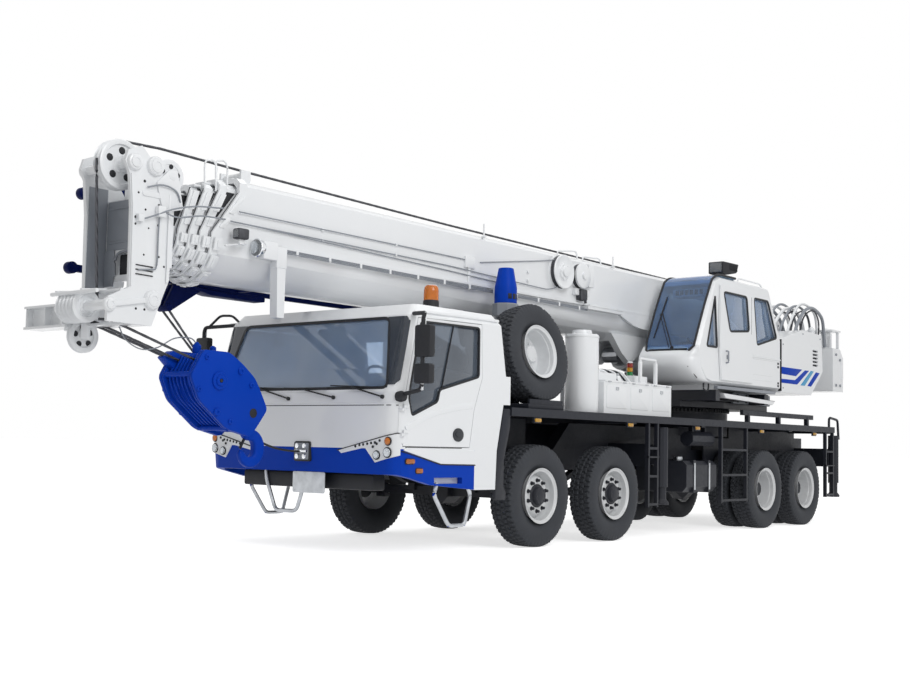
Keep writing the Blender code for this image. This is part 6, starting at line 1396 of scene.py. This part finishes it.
        # Seat, console and levers
        trim, seat, back = Form(), Form(), Form()
        floor = UPPER_FLOOR
        trim.add(block((-5.0, 0.7, floor), (-4.5, 1.12, floor + 0.09), 0.02),
                 block((-4.86, 0.82, floor + 0.08), (-4.68, 1.04, floor + 0.26), 0.03))
        for y in (0.66, 1.16):
            trim.add(block((-4.92, y - 0.03, floor + 0.38), (-4.5, y + 0.05, floor + 0.45), 0.02),
                     tube([(-4.54, y + 0.01, floor + 0.44), (-4.5, y + 0.01, floor + 0.6)], 0.012),
                     disc((-4.5, y + 0.01, 0), 0.026, floor + 0.59, floor + 0.65, "z", 0.012))
        trim.add(block((-4.42, 0.62, floor), (-4.34, 0.8, 2.62), 0.02))
        seat.add(cushion((-5.04, 0.7, floor + 0.26), (-4.55, 1.16, floor + 0.41), "z", (-0.1, 0.1)))
        upright = cushion((-5.12, 0.73, floor + 0.36), (-4.99, 1.13, floor + 0.98), "x", (-0.13, 0.13))
        back.add(moved(upright, turn=-8, axis="y", about=(-5.05, 0.93, floor + 0.36)))
        piece = trim.make("operator_console", UPPER, "plastic")
        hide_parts("operator_seat")
        for name, form in (("operator_cushion", seat), ("operator_backrest", back)):
            pad = form.make(name, UPPER, "cloth")
        return {"FINISHED"}


class CRANE_OT_rear(bpy.types.Operator):
    """Builds the stripes, louvres, hoses, winch windings and rear fittings of the superstructure"""

    bl_idname = "crane.rear"
    bl_label = "Superstructure's rear"

    def execute(self, context):
        navy, aqua, black, white, grey, line = (Form() for _ in range(6))
        for form, outline in ((navy, [(-6.112, 2.361), (-6.831, 2.361), (-6.607, 2.247), (-6.113, 2.256)]),
                              (navy,
                               [(-6.113, 2.182), (-6.577, 2.186), (-6.938, 2.355), (-7.085, 2.357),
                                (-6.651, 2.123), (-6.113, 2.123)]),
                              (aqua, [(-7.153, 2.362), (-7.262, 2.358), (-6.922, 2.117), (-6.771, 2.116)]),
                              (navy, [(-7.341, 2.349), (-7.483, 2.342), (-7.159, 2.116), (-7.023, 2.12)])):
            form.both(plate(outline, 1.349, 1.353, "y", 0.001))
        for k in range(5):
            z = 2.44 + 0.055 * k
            black.both(block((-7.417, 1.3215, z + 0.001), (-7.233, 1.326, z + 0.026), 0.001))
            white.both(bar((-7.415, 1.356, z + 0.036), (-7.235, 1.356, z + 0.036), 0.016, 0.012))
        black.both(block((-6.101, 1.3, 2.0), (-6.09, 1.356, 2.77), 0.002))
        for x, z in ((-6.16, 2.7), (-6.16, 2.05), (-7.5, 2.88), (-6.86, 2.91)):
            grey.both(disc((x, 0, z), 0.012, 1.348, 1.357, "y", 0.003, 10))
        # Under the operator's cab: bright sill, grey service panels and pipes
        grey.add(block((-5.95, 1.27, 1.94), (-4.15, 1.33, 1.985), 0.006),
                 block((-6.4, 0.99, 1.78), (-5.2, 1.03, 1.94), 0.01))
        for x in (-5.35, -5.62, -5.89, -6.16):
            black.add(block((x, 1.03, 1.8), (x + 0.04, 1.042, 1.92), 0.004))
        for k in range(4):
            path = [(-4.2, 0.92 + 0.04 * k, 1.86 - 0.02 * k), (-4.7, 1.04 + 0.03 * k, 1.8),
                    (-5.4, 1.06 + 0.03 * k, 1.84), (-6.05, 1.0, 1.92)]
            black.add(hose(path, 0.016))
        # Teeth of the slewing ring, a few faces each
        tooth = block((0.862, -0.011, 1.645), (0.884, 0.011, 1.695), 0.004)
        black.add(*[moved(tooth, by=SLEW_CENTRE, turn=360 / RING_TEETH * k) for k in range(RING_TEETH)])
        # Winch: rope winding as half circles side by side, flange bolts and motor
        turns = []
        for y in np.arange(-0.365, 0.366, 0.0275):
            turns += [(y - 0.012, 0.232), (y - 0.006, 0.243), (y + 0.006, 0.243), (y + 0.012, 0.232)]
        line.add(turned([(-0.379, 0.2)] + turns + [(0.379, 0.2)], WINCH, "y", 48))
        white.both(turned(np.array([(0.378, 0.29), (0.384, 0.306), (0.416, 0.306), (0.424, 0.295),
                                    (0.426, 0.16), (0.44, 0.15), (0.462, 0.14), (0.464, 0.004)]), WINCH,
                          "y", 56))
        grey.both(*[disc(at, 0.014, 0.424, 0.438, "y", 0.003, 8) for at in spread(8, WINCH, 0.22)])
        # Hoses that arch over the back, and the ribbed cylinder and rack at the rear
        for k in range(7):
            y, high = 0.5 + 0.1 * k, 3.4 + 0.03 * (k % 3)
            path = [(-6.75 - 0.06 * k, y, 2.92), (-6.85 - 0.06 * k, y, 3.1),
                    (-7.15 - 0.05 * k, y + 0.02, high - 0.06), (-7.45 - 0.05 * k, y + 0.03, high),
                    (-7.8 - 0.05 * k, y + 0.02, high - 0.12), (-8.05 - 0.03 * k, y, 3.05),
                    (-8.1 - 0.03 * k, y, 2.82)]
            (white if k % 2 else grey).add(tube(smooth_path(path, 7), 0.02 if k % 3 else 0.026, 10))
        for k in range(4):
            y = 0.62 + 0.16 * k
            path = [(-7.3, y, 2.94), (-7.42, y + 0.02, 3.24), (-7.7, y + 0.05, 3.36),
                    (-7.98, y + 0.02, 3.2), (-8.0, y, 2.82)]
            line.add(tube(smooth_path(path, 7), 0.013, 8))
        for x, y, z0, z1, r in ((-8.42, 1.05, 2.8, 3.12, 0.085), (-7.7, 1.12, 2.92, 3.08, 0.06),
                                (-8.05, 0.75, 2.72, 2.9, 0.07)):
            rings = [(z0, r * 0.7)]
            for z in np.arange(z0 + 0.01, z1 - 0.02, 0.034):
                rings += [(z, r), (z + 0.016, r), (z + 0.018, r * 0.84), (z + 0.032, r * 0.84)]
            white.add(turned(rings + [(z1, r * 0.6), (z1 + 0.02, r * 0.4), (z1 + 0.024, 0.004)], (x, y, 0),
                             "z", 28))
        for y in (1.18, 1.04, 0.8):
            white.add(block((-8.62, y - 0.02, 2.79), (-8.58, y + 0.02, 3.1), 0.005),
                      block((-8.34, y - 0.015, 2.79), (-8.3, y + 0.015, 3.04), 0.005))
        white.add(block((-8.64, 0.7, 3.08), (-8.28, 1.22, 3.11), 0.006),
                  block((-8.64, 1.22, 2.3), (-8.56, 1.262, 2.66), 0.01))
        for z in (2.22, 2.46, 2.7):
            white.add(block((-8.655, -1.18, z), (-8.648, 1.18, z + 0.03), 0.002))
        for x, z in ((-8.36, 2.2), (-8.52, 2.2), (-8.36, 2.7), (-8.52, 2.62)):
            grey.both(disc((x, 0, z), 0.022, 1.248, 1.268, "y", 0.004, 14))
        for name, form, kind in (("rear_stripes", navy, "blue"), ("rear_stripe_light", aqua, "turquoise"),
                                 ("rear_dark_parts", black, "rubber"), ("rear_fittings", white, "white"),
                                 ("rear_hardware", grey, "grey"), ("winch_windings", line, "rope")):
            form.make(name, UPPER, kind)
        return {"FINISHED"}


# Deck fittings

# Where the exhaust, the hydraulic tank and the signal tower stand, and the deck's height
EXHAUST, TANK, TOWER, DECK = (-0.27, 0.63, 0), (-1.17, 1.1, 0), (-2.58, 0.9, 0), 1.5103


class CRANE_OT_deck(bpy.types.Operator):
    """Builds the exhaust, tanks, spare wheel, boxes, signal tower, rails and lamps on the deck"""

    bl_idname = "crane.deck"
    bl_label = "Deck fittings"

    def execute(self, context):
        settings = context.scene.crane
        grey, blue, black, white, silver, amber, red, green = (Form() for _ in range(8))
        # Dark borders of the front arches, along the cab's rear edges
        border = [(0.58, 1.49), (0.7, 1.49), (0.815, 0.96), (0.825, 0.53), (0.64, 0.53), (0.64, 0.62),
                  (0.68, 0.66), (0.68, 0.95), (0.58, 1.3)]
        black.both(plate(rounded(border, 0.02), 1.335, 1.372, "y", 0.005))
        # Exhaust: eight-sided lagging and a blue cap with a dark slot
        stack = [(DECK, 0.128), (2.57, 0.128), (2.6, 0.154), (2.735, 0.154), (2.745, 0.146)]
        grey.add(turned(stack, EXHAUST, "z", 8))
        cap = [(2.742, 0.12), (2.75, 0.132), (2.93, 0.131), (2.955, 0.127), (3.06, 0.106), (3.14, 0.092),
               (3.158, 0.088), (3.162, 0.08), (3.163, 0.004)]
        blue.add(turned(cap, EXHAUST, "z", 40))
        for a in (150, 178, 206):
            slot = block((0.105, -0.026, 2.79), (0.1335, 0.026, 2.86), 0.008, 0.01, "x")
            black.add(moved(slot, by=EXHAUST, turn=a - 90))
        for z in (1.9, 2.3):
            silver.add(turned([(z, 0.128), (z + 0.004, 0.134), (z + 0.036, 0.134), (z + 0.04, 0.128)],
                              EXHAUST, "z", 32))
        piece = grey.make("exhaust_lagging", CARRIER, "grey")
        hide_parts("exhaust_stack")
        blue.make("exhaust_cap", CARRIER, "blue")
        # Hydraulic tank
        tank = Form()
        drum = [(DECK, 0.196), (DECK + 0.02, 0.202), (2.42, 0.202), (2.435, 0.2), (2.44, 0.19),
                (2.445, 0.135), (2.45, 0.122), (2.475, 0.12), (2.492, 0.114), (2.495, 0.05), (2.497, 0.004)]
        tank.add(turned(drum, TANK, "z", 56),
                 turned([(2.4, 0.2), (2.402, 0.208), (2.418, 0.208), (2.42, 0.2)], TANK, "z", 56),
                 *[disc((TANK[0] + 0.165 * math.cos(a), TANK[1] + 0.165 * math.sin(a), 0), 0.012, 2.44, 2.452,
                        "z", 0.003, 8) for a in 1.047 * np.arange(6)])
        piece = tank.make("hydraulic_tank_shell", CARRIER, "white")
        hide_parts("hydraulic_tank")
        # Spare wheel leaning on its stand
        centre = np.array((-0.18, 1.06, 2.14))
        rubber, rim, hub = wheel_parts(centre[0], centre[1], centre[2], 1, "rear", settings.tread_depth,
                                       settings.nut_count)
        lean = {"turn": 10.0, "axis": "x", "about": centre}
        spare, dish, stand = Form(), Form(), Form()
        spare.add(*[moved(grid, **lean) for grid in rubber], loop=True)
        dish.add(*[moved(grid, **lean) for grid in rim], loop=True)
        dish.add(*[moved(grid, **lean) for grid in hub])
        stand.add(block((-0.52, 0.8, DECK), (0.16, 1.3, 1.57), 0.01),
                  block((-0.26, 0.8, 1.55), (-0.1, 0.86, 2.2), 0.008),
                  moved(turned([(-0.25, 0.06), (-0.1, 0.06), (-0.09, 0.004)], centre, "y", 20), **lean),
                  bar((-0.18, 0.88, 1.58), (-0.18, 0.83, 2.0), 0.05, 0.05),
                  block((-0.5, 1.27, 1.56), (0.14, 1.3, 1.62), 0.006))
        piece = spare.make("spare_tyre", CARRIER, "tyre", angle=30)
        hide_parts("spare_wheel")
        dish.make("spare_rim", CARRIER, "rim", angle=30)
        stand.make("spare_stand", CARRIER, "black")
        # Deck boxes: lids, hinges, latches, posts, valves and the signal tower
        for x0, x1 in ((-3.01, -2.5), (-2.49, -1.98), (-1.97, -1.43)):
            white.add(block((x0, 0.61, 1.895), (x1, 1.268, 1.92), 0.006),
                      block((x0 + 0.04, 1.258, 1.58), (x1 - 0.04, 1.266, 1.86), 0.004, 0.02, "y"))
            silver.add(block(((x0 + x1) / 2 - 0.03, 1.264, 1.8), ((x0 + x1) / 2 + 0.03, 1.276, 1.84),
                             0.003))
            for x in (x0 + 0.1, x1 - 0.1):
                silver.add(tube([(x - 0.03, 1.27, 1.9), (x + 0.03, 1.27, 1.9)], 0.008, 8))
        for x in (-2.42, -2.8):
            white.add(block((x - 0.022, 1.13, 1.78), (x + 0.022, 1.17, 2.2), 0.006))
        white.add(pipe([(-2.42, 1.15, 2.19), (-2.42, 1.15, 2.24), (-2.8, 1.15, 2.24), (-2.8, 1.15, 2.19)],
                       0.03, 0.018), block((-2.82, 0.8, 1.91), (-2.5, 1.02, 2.03), 0.012),
                  block((-2.95, 0.66, 1.91), (-2.7, 0.9, 1.99), 0.01))
        for form, low in ((green, 2.03), (amber, 2.085), (red, 2.14)):
            form.add(turned([(low, 0.034), (low + 0.003, 0.04), (low + 0.05, 0.04), (low + 0.053, 0.034)],
                            TOWER, "z", 24))
        white.add(disc(TOWER, 0.04, 2.195, 2.215, "z", 0.01), disc(TOWER, 0.046, 2.02, 2.035, "z", 0.004))
        # Valves and lines stay under the counterweight's sweep, which starts at 2.10 m
        for x, y, r, high in ((-1.62, 0.78, 0.05, 2.04), (-1.74, 0.95, 0.04, 2.055),
                              (-1.88, 0.78, 0.055, 2.02), (-2.05, 1.05, 0.04, 2.0),
                              (-2.22, 0.84, 0.05, 2.03)):
            stem = [(1.9, r * 1.3), (1.95, r * 1.3), (1.955, r), (high - 0.02, r), (high, r * 0.8),
                    (high + 0.004, 0.004)]
            white.add(turned(stem, (x, y, 0), "z", 24))
            silver.add(disc((x, y, 0), r * 0.5, high, high + 0.03, "z", 0.005, 12))
        for k in range(5):
            x = -1.6 - 0.1 * k
            path = [(x, 0.72 + 0.03 * k, 1.96), (x - 0.06, 0.84, 2.055 + 0.003 * k), (x - 0.2, 1.0, 2.05),
                    (x - 0.3, 1.08, 1.93)]
            (black if k % 2 else white).add(hose(path, 0.013))
        black.add(block((-1.56, 0.72, 1.9), (-1.44, 0.9, 2.08), 0.02))
        # Deck rails, side lamps, ladder treads and fuel tank filler
        for x in (0.1, -1.82, -3.49, -5.38, -7.21):
            amber.both(block((x - 0.055, 1.378, 1.365), (x + 0.055, 1.398, 1.405), 0.006, 0.014, "y"))
            black.both(block((x - 0.068, 1.36, 1.355), (x + 0.068, 1.384, 1.415), 0.004))
        black.both(bar((-4.92, 1.3, 1.64), (-7.3, 1.3, 1.64), 0.05, 0.07))
        for x in (-5.1, -6.1, -7.1):
            black.both(block((x - 0.03, 1.27, 1.5), (x + 0.03, 1.33, 1.64), 0.004))
        for y in (1.3, -1.3):
            black.add(pipe([(-7.96, y, 1.5), (-7.96, y, 1.63), (-8.0, y, 1.66), (-8.3, y, 1.63),
                            (-8.34, y, 1.32)], 0.05, 0.02))
        black.both(block((-8.655, 0.3, 0.98), (-8.61, 0.56, 1.12), 0.006, 0.02, "x"))
        for y in (0.36, 0.44, 0.51):
            (amber if y == 0.44 else red).both(disc((0, y, 1.05), 0.032, -8.664, -8.65, "x", 0.004, 20))
        for x0, x1, z in ((-2.26, -2.51, 1.0), (-7.66, -7.97, 0.9)):
            black.both(bar((x0, 1.372, z), (x1, 1.372, z), 0.03, 0.02))
        silver.add(turned([(0.0, 0.055), (0.02, 0.058), (0.05, 0.058), (0.055, 0.045), (0.056, 0.004)],
                          (-3.4, 1.15, 0.955), "z", 24))
        for x in (-3.86, -3.46):
            silver.add(block((x - 0.018, 1.362, 0.58), (x + 0.018, 1.37, 0.93), 0.002))
        for name, form, kind in (("deck_dark_parts", black, "black"), ("deck_white_parts", white, "white"),
                                 ("deck_hardware", silver, "steel"), ("deck_amber_lamps", amber, "yellow"),
                                 ("deck_red_lamps", red, "red"), ("tower_green_lamp", green, "green")):
            form.make(name, CARRIER, kind)
        return {"FINISHED"}


# Floor, light and camera

FLOOR_HALF = 400.0
# Each lamp's name, place, aim, power and width
LAMPS = (("key", (7.0, 15.0, 11.0), (1.0, 0.0, 1.8), 1180.0, 9.0),
         ("top", (-1.0, 2.0, 15.0), (0.0, 0.0, 1.0), 520.0, 12.0))
# The camera as it was fitted to the photograph: yaw, pitch and roll in degrees, place, focal length in pixels
CAMERA_TURN, CAMERA_PLACE = (39.599, 4.394, 1.217), (11.172 + AXLE_1, 9.348, 1.091)
FOCAL_PIXELS, SENSOR = 1243.2, 36.0


class CRANE_OT_stage(bpy.types.Operator):
    """Makes the pale floor, the soft light and the camera"""

    bl_idname = "crane.stage"
    bl_label = "Floor, light and camera"

    def execute(self, context):
        scene = context.scene
        scene.view_settings.view_transform = "Standard"
        mesh = bpy.data.meshes.new("floor")
        mesh.from_pydata([(x * FLOOR_HALF, y * FLOOR_HALF, 0) for x, y in rectangle(-1, -1, 1, 1)], [],
                         [(0, 1, 2, 3)])
        floor = bpy.data.objects.new("floor", mesh)
        scene.collection.objects.link(floor)
        # Seamless paper: matt, pale, and white where it is seen directly or in a reflection
        paper = bpy.data.materials.new("studio_paper")
        paper.use_nodes = True
        tree = paper.node_tree
        surface = tree.nodes["Principled BSDF"]
        for key, value in {"Base Color": tuple(scene.crane.floor_colour), "Roughness": 0.9,
                           "Specular IOR Level": 0.1}.items():
            surface.inputs[key].default_value = value
        ray = add(tree, "LightPath")
        seen = add(tree, "Math", {"operation": "MAXIMUM"},
                   {0: ray.outputs["Is Camera Ray"], 1: ray.outputs["Is Glossy Ray"]})
        glow = add(tree, "Math", {"operation": "MULTIPLY", 1: 0.68}, {0: seen.outputs[0]})
        surface.inputs["Emission Color"].default_value = (1, 1, 1, 1)
        tree.links.new(glow.outputs[0], surface.inputs["Emission Strength"])
        mesh.materials.append(paper)

        world = bpy.data.worlds.new("studio")
        scene.world = world
        world.use_nodes = True
        tree = world.node_tree
        ray = add(tree, "LightPath")
        seen = add(tree, "Math", {"operation": "MAXIMUM"},
                   {0: ray.outputs["Is Camera Ray"], 1: ray.outputs["Is Glossy Ray"]})
        seen = add(tree, "Math", {"operation": "MAXIMUM"},
                   {0: seen.outputs[0], 1: ray.outputs["Is Transmission Ray"]})
        level = add(tree, "MapRange", {"To Min": 0.42, "To Max": 1.0}, {"Value": seen.outputs[0]})
        sky = tree.nodes["Background"]
        sky.inputs["Color"].default_value = (1.0, 1.0, 1.0, 1.0)
        tree.links.new(level.outputs["Result"], sky.inputs["Strength"])

        for name, place, aim, power, size in LAMPS:
            lamp = bpy.data.lights.new(name, "AREA")
            lamp.energy, lamp.size = power, size
            holder = bpy.data.objects.new(name, lamp)
            scene.collection.objects.link(holder)
            holder.location = place
            way = np.array(aim) - np.array(place)
            holder.rotation_mode = "QUATERNION"
            holder.rotation_quaternion = Vector(way.tolist()).to_track_quat("-Z", "Y")

        yaw, pitch, roll = np.radians(CAMERA_TURN)
        look = np.array([-np.cos(yaw) * np.cos(pitch), -np.sin(yaw) * np.cos(pitch), np.sin(pitch)])
        right = np.cross(look, (0, 0, 1))
        right /= np.linalg.norm(right)
        up = np.cross(right, look)
        across = right * np.cos(roll) + up * np.sin(roll)
        upright = -right * np.sin(roll) + up * np.cos(roll)
        lens = bpy.data.cameras.new("camera")
        lens.sensor_width, lens.lens = SENSOR, FOCAL_PIXELS * SENSOR / 910
        lens.clip_end = 2000.0
        camera = bpy.data.objects.new("camera", lens)
        scene.collection.objects.link(camera)
        turn = np.eye(4)
        turn[:3, 0], turn[:3, 1], turn[:3, 2] = across, upright, -look
        turn[:3, 3] = CAMERA_PLACE
        camera.matrix_world = Matrix(turn.tolist())
        scene.camera = camera
        return {"FINISHED"}


OPERATORS = (CRANE_OT_stage, CRANE_OT_solids, CRANE_OT_wheels, CRANE_OT_cab, CRANE_OT_interior,
             CRANE_OT_boom, CRANE_OT_head, CRANE_OT_hook, CRANE_OT_operator_cab, CRANE_OT_rear,
             CRANE_OT_deck)


class CRANE_PT_panel(bpy.types.Panel):
    """Lists the sizes and the pieces"""

    bl_label = "Truck crane"
    bl_idname = "CRANE_PT_panel"
    bl_space_type = "VIEW_3D"
    bl_region_type = "UI"
    bl_category = "Crane"

    def draw(self, context):
        for name in ("tread_depth", "edge_width", "nut_count", "floor_colour"):
            self.layout.prop(context.scene.crane, name)
        for operator in OPERATORS:
            self.layout.operator(operator.bl_idname)


def register():
    for item in (CraneSettings, *OPERATORS, CRANE_PT_panel):
        bpy.utils.register_class(item)
    bpy.types.Scene.crane = PointerProperty(type=CraneSettings)


def unregister():
    del bpy.types.Scene.crane
    for item in (CRANE_PT_panel, *OPERATORS[::-1], CraneSettings):
        bpy.utils.unregister_class(item)


def main():
    register()
    for operator in OPERATORS:
        group, name = operator.bl_idname.split(".")
        getattr(getattr(bpy.ops, group), name)()


if __name__ == "__main__":
    main()
